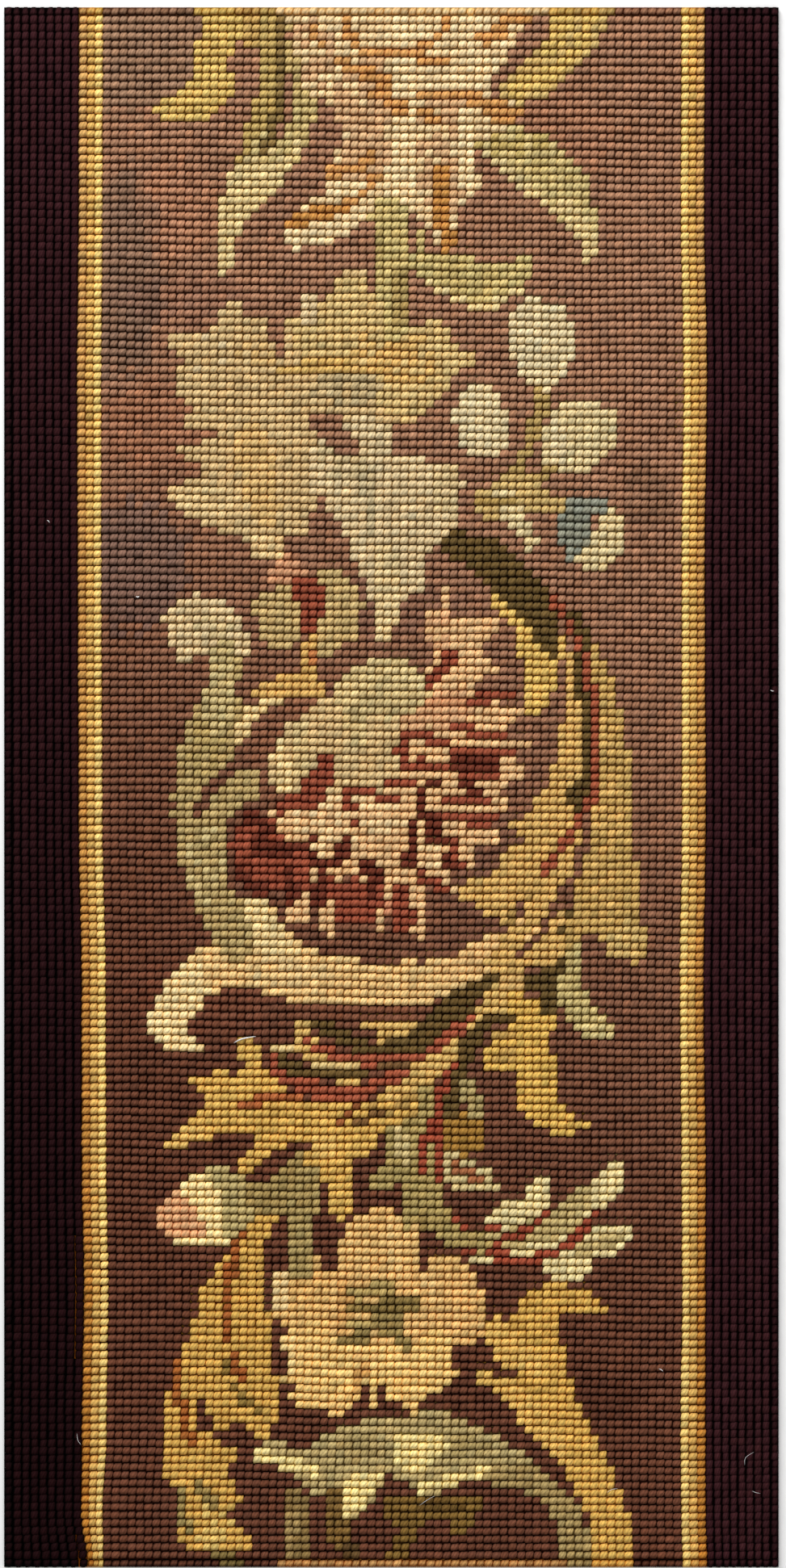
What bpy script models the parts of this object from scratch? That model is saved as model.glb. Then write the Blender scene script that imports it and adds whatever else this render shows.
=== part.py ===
"""Needlepoint canvas panel: a cut length of wool-worked canvas, lying flat.

One canvas carries everything: a flowered band worked in level rows, a gold line three stitches wide down
each side of it, and a dark border outside each line, worked in upright columns. The rows stand as welts
across the band and the columns as welts down the borders, and a furrow runs between a border and its
gold line.

Metres, +Z up. The underside lies on z = 0, the panel runs along Y with its head at +Y, and the origin is
under its middle.
"""

import bmesh
import bpy

INCH = 0.0254
THREADS_TO_THE_INCH = 10
COLUMN = INCH / THREADS_TO_THE_INCH
ROW = 0.982 * COLUMN

BORDER_COLUMNS = 9
GOLD_COLUMNS = 3
BAND_COLUMNS = 70
ROWS = 193

WIDTH = (2 * BORDER_COLUMNS + 2 * GOLD_COLUMNS + BAND_COLUMNS) * COLUMN
LENGTH = ROWS * ROW
LINE_TO_LINE = (2 * GOLD_COLUMNS + BAND_COLUMNS) * COLUMN

# Heights of the worked face above the surface that the panel lies on.
CREST = 0.0030
FURROW = 0.0023
# The last stitches roll over the cut edge and stand out from it at half height.
EDGE_ROLL = 0.0003
EDGE_ROLL_HEIGHT = 0.0012

# The tent stitch pulls the rows down towards the right, less so near the two cut ends.
ROW_SAG = 0.0024
SAG_FADE = 0.050

# How far the outer edge of each gold line strays to the right of a straight line.
# Columns: distance below the head, left line, right line.
LINE_WANDER = (
    (0.000, 0.0002, -0.0002),
    (0.060, 0.0001, -0.0003),
    (0.115, -0.0004, 0.0006),
    (0.165, -0.0002, 0.0000),
    (0.250, 0.0001, 0.0003),
    (0.300, 0.0010, -0.0005),
    (0.360, 0.0011, 0.0003),
    (0.395, 0.0018, 0.0000),
    (0.440, 0.0011, 0.0003),
    (0.465, 0.0009, 0.0004),
    (LENGTH, 0.0030, 0.0005),
)

# Across the band: the furrows at 0 and LINE_TO_LINE, the shoulders of the gold lines, their inner edges
# and the middle. Each is (distance from the left furrow, share of the welt's height).
SHOULDER = 0.6 * COLUMN
BAND_STATIONS = (
    (0.0, 0.0),
    (SHOULDER, 1.0),
    (GOLD_COLUMNS * COLUMN, 1.0),
    (LINE_TO_LINE / 2, 1.0),
    (LINE_TO_LINE - GOLD_COLUMNS * COLUMN, 1.0),
    (LINE_TO_LINE - SHOULDER, 1.0),
    (LINE_TO_LINE, 0.0),
)
BORDER_STEPS_DOWN = 24

MATERIALS = {
    "ground_wool": (0.165, 0.080, 0.048, 1.0),
    "gold_wool": (0.720, 0.430, 0.120, 1.0),
    "border_wool": (0.020, 0.007, 0.009, 1.0),
}
WOOL_ROUGHNESS = 0.92


def smooth(t):
    """Ease from 0 to 1 with no corner at either end."""
    t = min(1.0, max(0.0, t))
    return t * t * (3.0 - 2.0 * t)


def wander(down, side):
    """How far a gold line strays at this distance below the head; side is 1 for the left one, 2 for the right."""
    for above, below in zip(LINE_WANDER, LINE_WANDER[1:]):
        if down <= below[0]:
            share = smooth((down - above[0]) / (below[0] - above[0]))
            return above[side] + share * (below[side] - above[side])
    return LINE_WANDER[-1][side]


def left_line(down):
    return -LINE_TO_LINE / 2 + wander(down, 1)


def right_line(down):
    return LINE_TO_LINE / 2 + wander(down, 2)


def sag(x, down):
    """How far a row has dropped at x, from none at the left edge to ROW_SAG at the right one."""
    fade = smooth(down / SAG_FADE) * smooth((LENGTH - down) / SAG_FADE)
    return ROW_SAG * fade * (x + WIDTH / 2) / WIDTH


def place(vertex, x, down, height):
    """Put a vertex of the worked face at x, that far below the head, with its share of a welt's height."""
    y = LENGTH / 2 - down - sag(x, down)
    vertex.co = (x, y, FURROW + height * (CREST - FURROW))


def grid(mesh, across, along):
    """A grid of that many steps across and along, as columns of vertices that run down from the head."""
    made = bmesh.ops.create_grid(mesh, x_segments=across, y_segments=along, size=0.5)
    ordered = sorted(made["verts"], key=lambda v: (round(v.co.x, 5), -round(v.co.y, 5)))
    count = along + 1
    return [ordered[start : start + count] for start in range(0, len(ordered), count)]


def work_band(mesh):
    """The band and its gold lines. Every row is one welt, with a furrow above and below it."""
    columns = grid(mesh, len(BAND_STATIONS) - 1, 2 * ROWS)
    for column, (station, height) in zip(columns, BAND_STATIONS):
        for step, vertex in enumerate(column):
            down = step * ROW / 2
            left, right = left_line(down), right_line(down)
            x = left + (right - left) * station / LINE_TO_LINE
            place(vertex, x, down, height * (step % 2))
    return columns[0], columns[-1]


def work_border(mesh, outer_x, line):
    """One dark border, from its cut edge to the furrow beside a gold line. Every column is one welt."""
    columns = grid(mesh, 2 * BORDER_COLUMNS - 1, BORDER_STEPS_DOWN)
    for index, column in enumerate(columns):
        step = index if outer_x < 0 else index + 1
        for number, vertex in enumerate(column):
            down = number * LENGTH / BORDER_STEPS_DOWN
            share = step / (2 * BORDER_COLUMNS)
            near = min(outer_x, line(down))
            far = max(outer_x, line(down))
            place(vertex, near + share * (far - near), down, step % 2)
    return columns[0], columns[-1]


def lace(mesh, left, right):
    """Join two lines of vertices of unlike spacing, both running down from the head, with triangles."""
    i = j = 0
    while i < len(left) - 1 or j < len(right) - 1:
        left_is_behind = j == len(right) - 1 or (
            i < len(left) - 1 and left[i + 1].co.y >= right[j + 1].co.y
        )
        if left_is_behind:
            mesh.faces.new((left[i], left[i + 1], right[j]))
            i += 1
        else:
            mesh.faces.new((left[i], right[j + 1], right[j]))
            j += 1


def rim_of(mesh):
    return [edge for edge in mesh.edges if edge.is_boundary]


def roll_down(mesh, rim, outset, height):
    """Carry the rim down to a height, spread outwards from the panel's middle by outset."""
    made = bmesh.ops.extrude_edge_only(mesh, edges=rim)["geom"]
    for item in made:
        if isinstance(item, bmesh.types.BMVert):
            item.co.x *= 1.0 + outset / (WIDTH / 2)
            item.co.y *= 1.0 + outset / (LENGTH / 2)
            item.co.z = height
    return [item for item in made if isinstance(item, bmesh.types.BMEdge) and item.is_boundary]


def close_underside(mesh):
    """The cut edge turns over in two steps, and the back lies flat on the surface."""
    rim = roll_down(mesh, rim_of(mesh), EDGE_ROLL, EDGE_ROLL_HEIGHT)
    rim = roll_down(mesh, rim, -EDGE_ROLL, 0.0)
    bmesh.ops.contextual_create(mesh, geom=rim)


def wool(name):
    material = bpy.data.materials.new(name)
    material.use_nodes = True
    shader = material.node_tree.nodes["Principled BSDF"]
    shader.inputs["Base Color"].default_value = MATERIALS[name]
    shader.inputs["Roughness"].default_value = WOOL_ROUGHNESS
    shader.inputs["Metallic"].default_value = 0.0
    material.diffuse_color = MATERIALS[name]
    return material


def colour_by_field(mesh):
    """Give each face the wool of its field: ground, gold line or dark border."""
    names = list(MATERIALS)
    gold_width = GOLD_COLUMNS * COLUMN
    for face in mesh.faces:
        middle = face.calc_center_median()
        down = LENGTH / 2 - middle.y
        from_line = min(middle.x - left_line(down), right_line(down) - middle.x)
        if from_line < 0:
            face.material_index = names.index("border_wool")
        elif from_line < gold_width:
            face.material_index = names.index("gold_wool")
        else:
            face.material_index = names.index("ground_wool")


def make_panel(collection):
    mesh = bmesh.new()
    band_left, band_right = work_band(mesh)
    _, border_left = work_border(mesh, -WIDTH / 2, left_line)
    border_right, _ = work_border(mesh, WIDTH / 2, right_line)
    lace(mesh, border_left, band_left)
    lace(mesh, band_right, border_right)
    close_underside(mesh)
    bmesh.ops.recalc_face_normals(mesh, faces=mesh.faces)
    colour_by_field(mesh)
    data = bpy.data.meshes.new("needlepoint_panel")
    mesh.to_mesh(data)
    mesh.free()
    for name in MATERIALS:
        data.materials.append(wool(name))
    collection.objects.link(bpy.data.objects.new("needlepoint_panel", data))


def main():
    for old in list(bpy.data.objects):
        bpy.data.objects.remove(old)
    collection = bpy.data.collections.new("needlepoint_canvas_panel")
    bpy.context.scene.collection.children.link(collection)
    make_panel(collection)


main()
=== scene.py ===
import math

import bmesh
import bpy
import numpy as np
from mathutils import Matrix, Vector


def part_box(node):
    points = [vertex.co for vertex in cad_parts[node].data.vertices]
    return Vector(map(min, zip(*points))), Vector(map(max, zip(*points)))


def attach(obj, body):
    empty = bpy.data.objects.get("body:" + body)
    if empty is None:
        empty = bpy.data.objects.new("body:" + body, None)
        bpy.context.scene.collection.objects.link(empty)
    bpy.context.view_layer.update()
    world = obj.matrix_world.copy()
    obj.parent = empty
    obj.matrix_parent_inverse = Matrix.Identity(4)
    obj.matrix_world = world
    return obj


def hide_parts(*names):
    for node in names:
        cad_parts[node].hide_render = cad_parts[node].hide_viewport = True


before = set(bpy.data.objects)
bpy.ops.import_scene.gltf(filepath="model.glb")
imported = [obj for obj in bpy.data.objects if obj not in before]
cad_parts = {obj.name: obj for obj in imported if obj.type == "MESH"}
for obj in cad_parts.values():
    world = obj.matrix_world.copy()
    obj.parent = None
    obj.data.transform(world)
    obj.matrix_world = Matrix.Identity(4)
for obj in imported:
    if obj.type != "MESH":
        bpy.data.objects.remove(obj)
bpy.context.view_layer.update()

# The floor, the camera and the lights
# A plain pale floor, with the panel looked at from straight above. One large soft light stands beyond the
# panel's head, so that every stitch is lit on its upper side and shades the furrow below it.

PHOTO_WIDE, PHOTO_HIGH = 973, 1942
METRES_PER_PIXEL = 0.0002496
CAMERA_HEIGHT = 1.60
PANEL_MIDDLE_PIXEL = (484.5, 975.0)
FLOOR_SIZE = 2.4
FLOOR_DROP = 0.0002


def add_object(name, data):
    """A new object in the scene, at the origin."""
    made = bpy.data.objects.new(name, data)
    bpy.context.scene.collection.objects.link(made)
    return made


def new_material(name, roughness, gloss=0.5):
    """A new material, with its nodes, its links and its shader."""
    material = bpy.data.materials.new(name)
    material.use_nodes = True
    nodes = material.node_tree.nodes
    shader = nodes["Principled BSDF"]
    shader.inputs["Roughness"].default_value = roughness
    shader.inputs["Specular IOR Level"].default_value = gloss
    return material, nodes, material.node_tree.links, shader


def noise_colour(nodes, links, vector, scale, low, high, detail=3.0):
    """A grey that wavers between low and high, from a noise of that scale."""
    noise = nodes.new("ShaderNodeTexNoise")
    noise.inputs["Scale"].default_value = scale
    noise.inputs["Detail"].default_value = detail
    links.new(vector, noise.inputs["Vector"])
    spread = nodes.new("ShaderNodeMapRange")
    spread.inputs["From Min"].default_value = 0.3
    spread.inputs["From Max"].default_value = 0.7
    spread.inputs["To Min"].default_value = low
    spread.inputs["To Max"].default_value = high
    links.new(noise.outputs["Fac"], spread.inputs["Value"])
    return spread.outputs["Result"]


def pale_floor_paint():
    material, nodes, links, shader = new_material("pale_floor", roughness=0.9)
    spot = nodes.new("ShaderNodeTexCoord").outputs["Object"]
    grey = noise_colour(nodes, links, spot, 6.0, 0.86, 0.90)
    links.new(grey, shader.inputs["Base Color"])
    return material


mesh = bmesh.new()
bmesh.ops.create_grid(mesh, x_segments=1, y_segments=1, size=FLOOR_SIZE / 2)
floor_data = bpy.data.meshes.new("floor")
mesh.to_mesh(floor_data)
mesh.free()
floor_data.transform(Matrix.Translation((0, 0, -FLOOR_DROP)))
floor = add_object("floor", floor_data)
floor_data.materials.append(pale_floor_paint())

camera_data = bpy.data.cameras.new("camera")
camera = add_object("camera", camera_data)
camera_data.sensor_fit = "VERTICAL"
camera_data.angle = 2 * math.atan(PHOTO_HIGH * METRES_PER_PIXEL / 2 / CAMERA_HEIGHT)
camera.location = (
    (PHOTO_WIDE / 2 - PANEL_MIDDLE_PIXEL[0]) * METRES_PER_PIXEL,
    (PANEL_MIDDLE_PIXEL[1] - PHOTO_HIGH / 2) * METRES_PER_PIXEL,
    CAMERA_HEIGHT,
)
bpy.context.scene.camera = camera


def soft_light(name, size, watts, location, aim):
    data = bpy.data.lights.new(name, "AREA")
    data.shape = "RECTANGLE"
    data.size, data.size_y = size
    data.energy = watts
    light = add_object(name, data)
    light.location = location
    light.rotation_euler = (Vector(aim) - Vector(location)).to_track_quat("-Z", "Y").to_euler()


soft_light("window_light", (1.4, 0.7), 41.0, (-0.35, 1.55, 1.05), (0.0, -0.05, 0.0))
soft_light("overhead_light", (1.6, 1.6), 14.0, (0.1, -0.5, 1.9), (0.0, -0.1, 0.0))

world = bpy.data.worlds.new("studio")
world.use_nodes = True
world.node_tree.nodes["Background"].inputs["Color"].default_value = (1.0, 0.985, 0.965, 1.0)
world.node_tree.nodes["Background"].inputs["Strength"].default_value = 0.25
bpy.context.scene.world = world
bpy.context.scene.view_settings.view_transform = "Standard"

# The canvas and its stitches
# The real piece is one length of stiff cotton canvas with ten threads to the inch, and every crossing of
# its threads carries one slanting wool stitch. Here is where each stitch lies on it.

BORDER_COLUMNS = 9
GOLD_COLUMNS = 3
BAND_COLUMNS = 70
ALL_COLUMNS = 2 * BORDER_COLUMNS + 2 * GOLD_COLUMNS + BAND_COLUMNS
ROWS = 193
EDGE_ROLL = 0.0003

panel_low, panel_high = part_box("needlepoint_panel")
WIDTH = panel_high.x - panel_low.x - 2 * EDGE_ROLL
LENGTH = panel_high.y - panel_low.y - 2 * EDGE_ROLL
CREST = panel_high.z
COLUMN = WIDTH / ALL_COLUMNS
ROW = LENGTH / ROWS
CANVAS_TOP = 0.0015

# The tent stitch pulls the rows down towards the right, less so near the two cut ends.
ROW_SAG = 0.0024
SAG_FADE = 0.050
# A slow ripple in the rows, which no worker keeps quite level.
RIPPLE = 0.00022

# How far the edges of the gold lines stray to the right of straight ones, in metres. Columns: distance
# below the head, then the left line's outer and inner edge, then the right line's inner and outer edge.
LINE_WANDER = np.array((
    (0.000, 0.0002, -0.0001, 0.0006, 0.0001),
    (0.060, 0.0001, -0.0003, 0.0004, -0.0001),
    (0.115, -0.0004, -0.0006, 0.0013, 0.0008),
    (0.165, -0.0002, -0.0006, 0.0007, 0.0001),
    (0.250, 0.0001, -0.0003, 0.0007, 0.0004),
    (0.300, 0.0010, 0.0007, 0.0001, -0.0003),
    (0.360, 0.0011, 0.0009, 0.0006, 0.0004),
    (0.395, 0.0018, 0.0016, 0.0008, 0.0003),
    (0.440, 0.0011, 0.0010, 0.0003, 0.0003),
    (0.465, 0.0009, -0.0002, 0.0005, 0.0004),
    (0.4815, 0.0030, 0.0000, 0.0010, 0.0008),
))


def smooth(t):
    """Ease from 0 to 1 with no corner at either end."""
    t = np.clip(t, 0.0, 1.0)
    return t * t * (3.0 - 2.0 * t)


def stray(down, edge):
    """How far an edge of a gold line strays at a distance below the head. The four edges count from 1."""
    after = np.clip(np.searchsorted(LINE_WANDER[:, 0], down), 1, len(LINE_WANDER) - 1)
    above, below = LINE_WANDER[after - 1], LINE_WANDER[after]
    share = smooth((down - above[..., 0]) / (below[..., 0] - above[..., 0]))
    return above[..., edge] + share * (below[..., edge] - above[..., edge])


def place(column, row):
    """Where a point of the chart lies on the panel. Column 0 is at the left edge and row 0 at the head."""
    down = row * ROW
    marks = (0, BORDER_COLUMNS, BORDER_COLUMNS + GOLD_COLUMNS)
    marks = marks + tuple(ALL_COLUMNS - mark for mark in reversed(marks))
    x = np.zeros_like(down)
    for number, (near, far) in enumerate(zip(marks, marks[1:])):
        start = near * COLUMN + (stray(down, number) if number > 0 else 0.0)
        end = far * COLUMN + (stray(down, number + 1) if number < 4 else 0.0)
        inside = (column >= near) & (column <= far)
        x = np.where(inside, start + (end - start) * (column - near) / (far - near), x)
    fade = smooth(down / SAG_FADE) * smooth((LENGTH - down) / SAG_FADE)
    sag = ROW_SAG * fade * x / WIDTH
    ripple = np.sin(x * 61 + down * 9) * np.sin(down * 37 + 1.0) + 0.6 * np.sin(x * 149 + down * 71)
    return x - WIDTH / 2, LENGTH / 2 - down - sag - RIPPLE * fade * ripple


chart_columns, chart_rows = np.meshgrid(np.arange(ALL_COLUMNS) + 0.5, np.arange(ROWS) + 0.5)
chart_columns, chart_rows = chart_columns.ravel(), chart_rows.ravel()
stitch_x, stitch_y = place(chart_columns, chart_rows)
# The same places in stitches across from the left edge and down from the head, to draw motifs with.
across = (stitch_x + WIDTH / 2) / COLUMN
down = (LENGTH / 2 - stitch_y) / ROW
in_band = (chart_columns > BORDER_COLUMNS + GOLD_COLUMNS) & (
    chart_columns < ALL_COLUMNS - BORDER_COLUMNS - GOLD_COLUMNS
)
worked = np.zeros(len(across), bool)
stitch_colour = np.zeros((len(across), 3))


# Each face of a stitch keeps clear of the sides of its own place on the map.
MAP_REACH = 0.47


def stitch_form(name, half_wide, half_high, lean, quarter, levels):
    """One plump stitch with a flat underside, in units of the mesh's pitch and of the stitch's height.

    Its outline seen from above leans to the right, and quarter gives the two corners of its upper right
    quarter. It carries two maps: stitch, the place on the stitch seen from above, and OFBake, which the
    stitching tree spreads so that none overlap.
    """
    corners = [*quarter, *((-x, y) for x, y in reversed(quarter))]
    corners = [*corners, *((-x, -y) for x, y in corners)]
    form = bmesh.new()
    rings = []
    for wide_share, high_share, height in levels:
        ring = []
        for wide, high in corners:
            y = half_high * high_share * high
            ring.append(form.verts.new((half_wide * wide_share * wide + lean * y, y, height)))
        rings.append(ring)
    top = form.verts.new((0.0, 0.0, 1.0))
    for lower, upper in zip(rings, rings[1:]):
        for step in range(8):
            after = (step + 1) % 8
            form.faces.new((lower[step], lower[after], upper[after], upper[step]))
    for step in range(8):
        form.faces.new((rings[-1][step], rings[-1][(step + 1) % 8], top))
    under = form.faces.new(list(reversed(rings[0])))
    reach_x = half_wide + lean * half_high
    seen = form.loops.layers.uv.new("stitch")
    bake = form.loops.layers.uv.new("OFBake")
    for face in form.faces:
        for loop in face.loops:
            spot = loop.vert.co
            u = 0.5 + MAP_REACH * spot.x / reach_x
            v = 0.5 + MAP_REACH * spot.y / half_high
            loop[seen].uv = (u, v)
            loop[bake].uv = (0.02 + 0.03 * u, 0.95 + 0.03 * v) if face is under else (u, v)
    data = bpy.data.meshes.new(name)
    form.to_mesh(data)
    form.free()
    form_object = add_object(name, data)
    form_object.hide_render = True
    return form_object


# Each level of a stitch: its share of the half width, its share of the half height and how far up it is.
BAND_LEVELS = ((1.0, 1.0, 0.0), (0.96, 0.94, 0.52), (0.74, 0.58, 0.90))
BORDER_LEVELS = ((1.0, 1.0, 0.0), (0.93, 0.99, 0.52), (0.54, 0.74, 0.90))
BAND_STITCH = stitch_form(
    "band_stitch", half_wide=0.535, half_high=0.485, lean=0.26, quarter=((1.0, 0.46), (0.64, 1.0)),
    levels=BAND_LEVELS,
)
BORDER_STITCH = stitch_form(
    "border_stitch", half_wide=0.46, half_high=0.56, lean=0.10, quarter=((1.0, 0.62), (0.64, 1.0)),
    levels=BORDER_LEVELS,
)


def stitching_tree():
    """Geometry Nodes that work one stitch on every point of a chart and give each its own place on a map."""
    tree = bpy.data.node_groups.new("stitching", "GeometryNodeTree")
    sockets = tree.interface
    sockets.new_socket("Chart", in_out="INPUT", socket_type="NodeSocketGeometry")
    sockets.new_socket("Stitch", in_out="INPUT", socket_type="NodeSocketObject")
    sockets.new_socket("Wool", in_out="INPUT", socket_type="NodeSocketMaterial")
    sockets.new_socket("Uneven Turn", in_out="INPUT", socket_type="NodeSocketFloat")
    sockets.new_socket("Uneven Size", in_out="INPUT", socket_type="NodeSocketVector")
    sockets.new_socket("Uneven Place", in_out="INPUT", socket_type="NodeSocketFloat")
    sockets.new_socket("Map Cells Across", in_out="INPUT", socket_type="NodeSocketFloat")
    sockets.new_socket("Seed", in_out="INPUT", socket_type="NodeSocketInt")
    sockets.new_socket("Work", in_out="OUTPUT", socket_type="NodeSocketGeometry")
    nodes, links = tree.nodes, tree.links
    given = nodes.new("NodeGroupInput")

    def math_node(operation, first, second):
        node = nodes.new("ShaderNodeMath")
        node.operation = operation
        for socket, value in zip(node.inputs, (first, second)):
            if isinstance(value, (int, float)):
                socket.default_value = value
            elif value is not None:
                links.new(value, socket)
        return node.outputs[0]

    def vector_node(operation, first, second):
        node = nodes.new("ShaderNodeVectorMath")
        node.operation = operation
        links.new(first, node.inputs[0])
        if operation == "SCALE":
            links.new(second, node.inputs["Scale"])
        else:
            links.new(second, node.inputs[1])
        return node.outputs[0]

    def carried(name, kind):
        node = nodes.new("GeometryNodeInputNamedAttribute")
        node.data_type = kind
        node.inputs["Name"].default_value = name
        return node.outputs["Attribute"]

    def chance(offset):
        """A random vector from -1 to 1 for each stitch."""
        node = nodes.new("FunctionNodeRandomValue")
        node.data_type = "FLOAT_VECTOR"
        node.inputs[0].default_value = (-1.0, -1.0, -1.0)
        node.inputs[1].default_value = (1.0, 1.0, 1.0)
        links.new(math_node("ADD", given.outputs["Seed"], offset), node.inputs["Seed"])
        return node.outputs[0]

    moved = nodes.new("GeometryNodeSetPosition")
    links.new(given.outputs["Chart"], moved.inputs["Geometry"])
    links.new(vector_node("SCALE", chance(0), given.outputs["Uneven Place"]), moved.inputs["Offset"])

    form = nodes.new("GeometryNodeObjectInfo")
    links.new(given.outputs["Stitch"], form.inputs["Object"])

    turn = vector_node("ADD", carried("turn", "FLOAT_VECTOR"),
                       vector_node("SCALE", chance(1), given.outputs["Uneven Turn"]))
    as_rotation = nodes.new("FunctionNodeEulerToRotation")
    links.new(turn, as_rotation.inputs[0])

    one = nodes.new("ShaderNodeCombineXYZ")
    for socket in one.inputs:
        socket.default_value = 1.0
    uneven = vector_node("ADD", one.outputs[0],
                         vector_node("MULTIPLY", chance(2), given.outputs["Uneven Size"]))
    size = vector_node("MULTIPLY", carried("size", "FLOAT_VECTOR"), uneven)

    laid = nodes.new("GeometryNodeInstanceOnPoints")
    links.new(moved.outputs[0], laid.inputs["Points"])
    links.new(form.outputs["Geometry"], laid.inputs["Instance"])
    links.new(as_rotation.outputs[0], laid.inputs["Rotation"])
    links.new(size, laid.inputs["Scale"])

    index = nodes.new("GeometryNodeInputIndex").outputs[0]
    cells = given.outputs["Map Cells Across"]
    cell = nodes.new("ShaderNodeCombineXYZ")
    links.new(math_node("FLOORED_MODULO", index, cells), cell.inputs["X"])
    links.new(math_node("FLOOR", math_node("DIVIDE", index, cells), None), cell.inputs["Y"])
    numbered = nodes.new("GeometryNodeStoreNamedAttribute")
    numbered.data_type, numbered.domain = "FLOAT_VECTOR", "INSTANCE"
    numbered.inputs["Name"].default_value = "cell"
    links.new(laid.outputs[0], numbered.inputs["Geometry"])
    links.new(cell.outputs[0], numbered.inputs["Value"])

    real = nodes.new("GeometryNodeRealizeInstances")
    links.new(numbered.outputs[0], real.inputs["Geometry"])

    share = nodes.new("ShaderNodeCombineXYZ")
    for socket in share.inputs:
        links.new(cells, socket)
    spot = vector_node("DIVIDE", vector_node("ADD", carried("OFBake", "FLOAT_VECTOR"),
                                             carried("cell", "FLOAT_VECTOR")), share.outputs[0])
    mapped = nodes.new("GeometryNodeStoreNamedAttribute")
    mapped.data_type, mapped.domain = "FLOAT2", "CORNER"
    mapped.inputs["Name"].default_value = "OFBake"
    links.new(real.outputs[0], mapped.inputs["Geometry"])
    links.new(spot, mapped.inputs["Value"])

    dressed = nodes.new("GeometryNodeSetMaterial")
    links.new(mapped.outputs[0], dressed.inputs["Geometry"])
    links.new(given.outputs["Wool"], dressed.inputs["Material"])
    result = nodes.new("NodeGroupOutput")
    links.new(dressed.outputs[0], result.inputs[0])
    return tree


STITCHING = stitching_tree()
STITCH_HEIGHT = CREST - CANVAS_TOP
DYE_LIGHT, DYE_WARM = 0.07, 0.02
EDGE_TURN = 0.42
EDGE_DROP = 0.0004
# The cut edges are straight: the last stitches are pressed flat against this line.
EDGE_LINE = 0.0002


def linear(colour):
    """A colour of 0 to 255 as seen, as the linear values that a shader takes."""
    share = np.asarray(colour, float) / 255.0
    return np.where(share <= 0.04045, share / 12.92, ((share + 0.055) / 1.055) ** 2.4)


def work_stitches(name, picked, form, wool, seed):
    """Makes one piece of the picked stitches, in the colours that the chart gives them."""
    places = np.flatnonzero(picked)
    column, row = chart_columns[places], chart_rows[places]
    left, right = column < 1, column > ALL_COLUMNS - 1
    head, foot = row < 1, row > ROWS - 1
    rim = left | right | head | foot
    turn = np.zeros((len(places), 3))
    turn[:, 0] = EDGE_TURN * (foot * 1.0 - head)
    turn[:, 1] = EDGE_TURN * (right * 1.0 - left)
    x_right, _ = place(column + 0.5, row)
    x_left, _ = place(column - 0.5, row)
    size = np.empty((len(places), 3))
    size[:, 0] = x_right - x_left
    size[:, 1:] = ROW, STITCH_HEIGHT
    spot = np.stack((stitch_x[places], stitch_y[places], CANVAS_TOP - rim * EDGE_DROP), 1)
    data = bpy.data.meshes.new(name + "_chart")
    data.vertices.add(len(places))
    data.vertices.foreach_set("co", spot.astype(np.float32).ravel())
    for layer, values in (("turn", turn), ("size", size)):
        attribute = data.attributes.new(layer, "FLOAT_VECTOR", "POINT")
        attribute.data.foreach_set("vector", values.astype(np.float32).ravel())
    dyed = np.ones((len(places), 4))
    # Each stitch's wool is a little lighter or darker and warmer or cooler than the next.
    uneven = np.random.default_rng(seed + 500).normal(0.0, 1.0, (len(places), 2))
    tint = 1.0 + DYE_LIGHT * uneven[:, :1] + DYE_WARM * uneven[:, 1:] * np.array((1.0, 0.1, -1.0))
    dyed[:, :3] = np.clip(linear(stitch_colour[places]) * tint, 0.0, 1.0)
    attribute = data.attributes.new("wool", "FLOAT_COLOR", "POINT")
    attribute.data.foreach_set("color", dyed.astype(np.float32).ravel())
    chance = np.random.default_rng(seed).random(len(places))
    attribute = data.attributes.new("lot", "FLOAT", "POINT")
    attribute.data.foreach_set("value", chance.astype(np.float32))
    chart = add_object(name + "_chart", data)
    modifier = chart.modifiers.new("stitching", "NODES")
    modifier.node_group = STITCHING
    values = {
        "Stitch": form,
        "Wool": wool,
        "Uneven Turn": 0.07,
        "Uneven Size": (0.10, 0.05, 0.07),
        "Uneven Place": 0.00007,
        "Map Cells Across": float(math.ceil(math.sqrt(len(places)))),
        "Seed": seed,
    }
    for item in STITCHING.interface.items_tree:
        if item.name in values:
            modifier[item.identifier] = values[item.name]
    evaluated = chart.evaluated_get(bpy.context.evaluated_depsgraph_get())
    stitches = bpy.data.meshes.new_from_object(evaluated)
    bpy.data.objects.remove(chart)
    stitches.name = name
    spots = np.empty(3 * len(stitches.vertices), np.float32)
    stitches.vertices.foreach_get("co", spots)
    spots = spots.reshape(-1, 3)
    reach = np.array((WIDTH / 2 + EDGE_LINE, LENGTH / 2 + EDGE_LINE))
    spots[:, :2] = np.clip(spots[:, :2], -reach, reach)
    stitches.vertices.foreach_set("co", spots.ravel())
    stitches.shade_smooth()
    for spare in ("turn", "size", "cell"):
        if spare in stitches.attributes:
            stitches.attributes.remove(stitches.attributes[spare])
    piece = add_object(name, stitches)
    worked[places] = True
    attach(piece, "root")
    return piece


# How many plies cross a stitch, how far they lean and how far they bend from stitch to stitch.
PLIES, PLY_LEAN, PLY_BEND = 2.9, 0.42, 0.14
# Painted shade: the wool low between the stitches has its colour raised to this power, darker and deeper in
# hue.
PAINTED_SHADE_GAMMA = 2.5
# How high the pillow of a stitch is on average, so that the painted highlight on its crown and the painted
# shade at its ends leave its mean colour alone.
PILLOW_MEAN = 0.64


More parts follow.
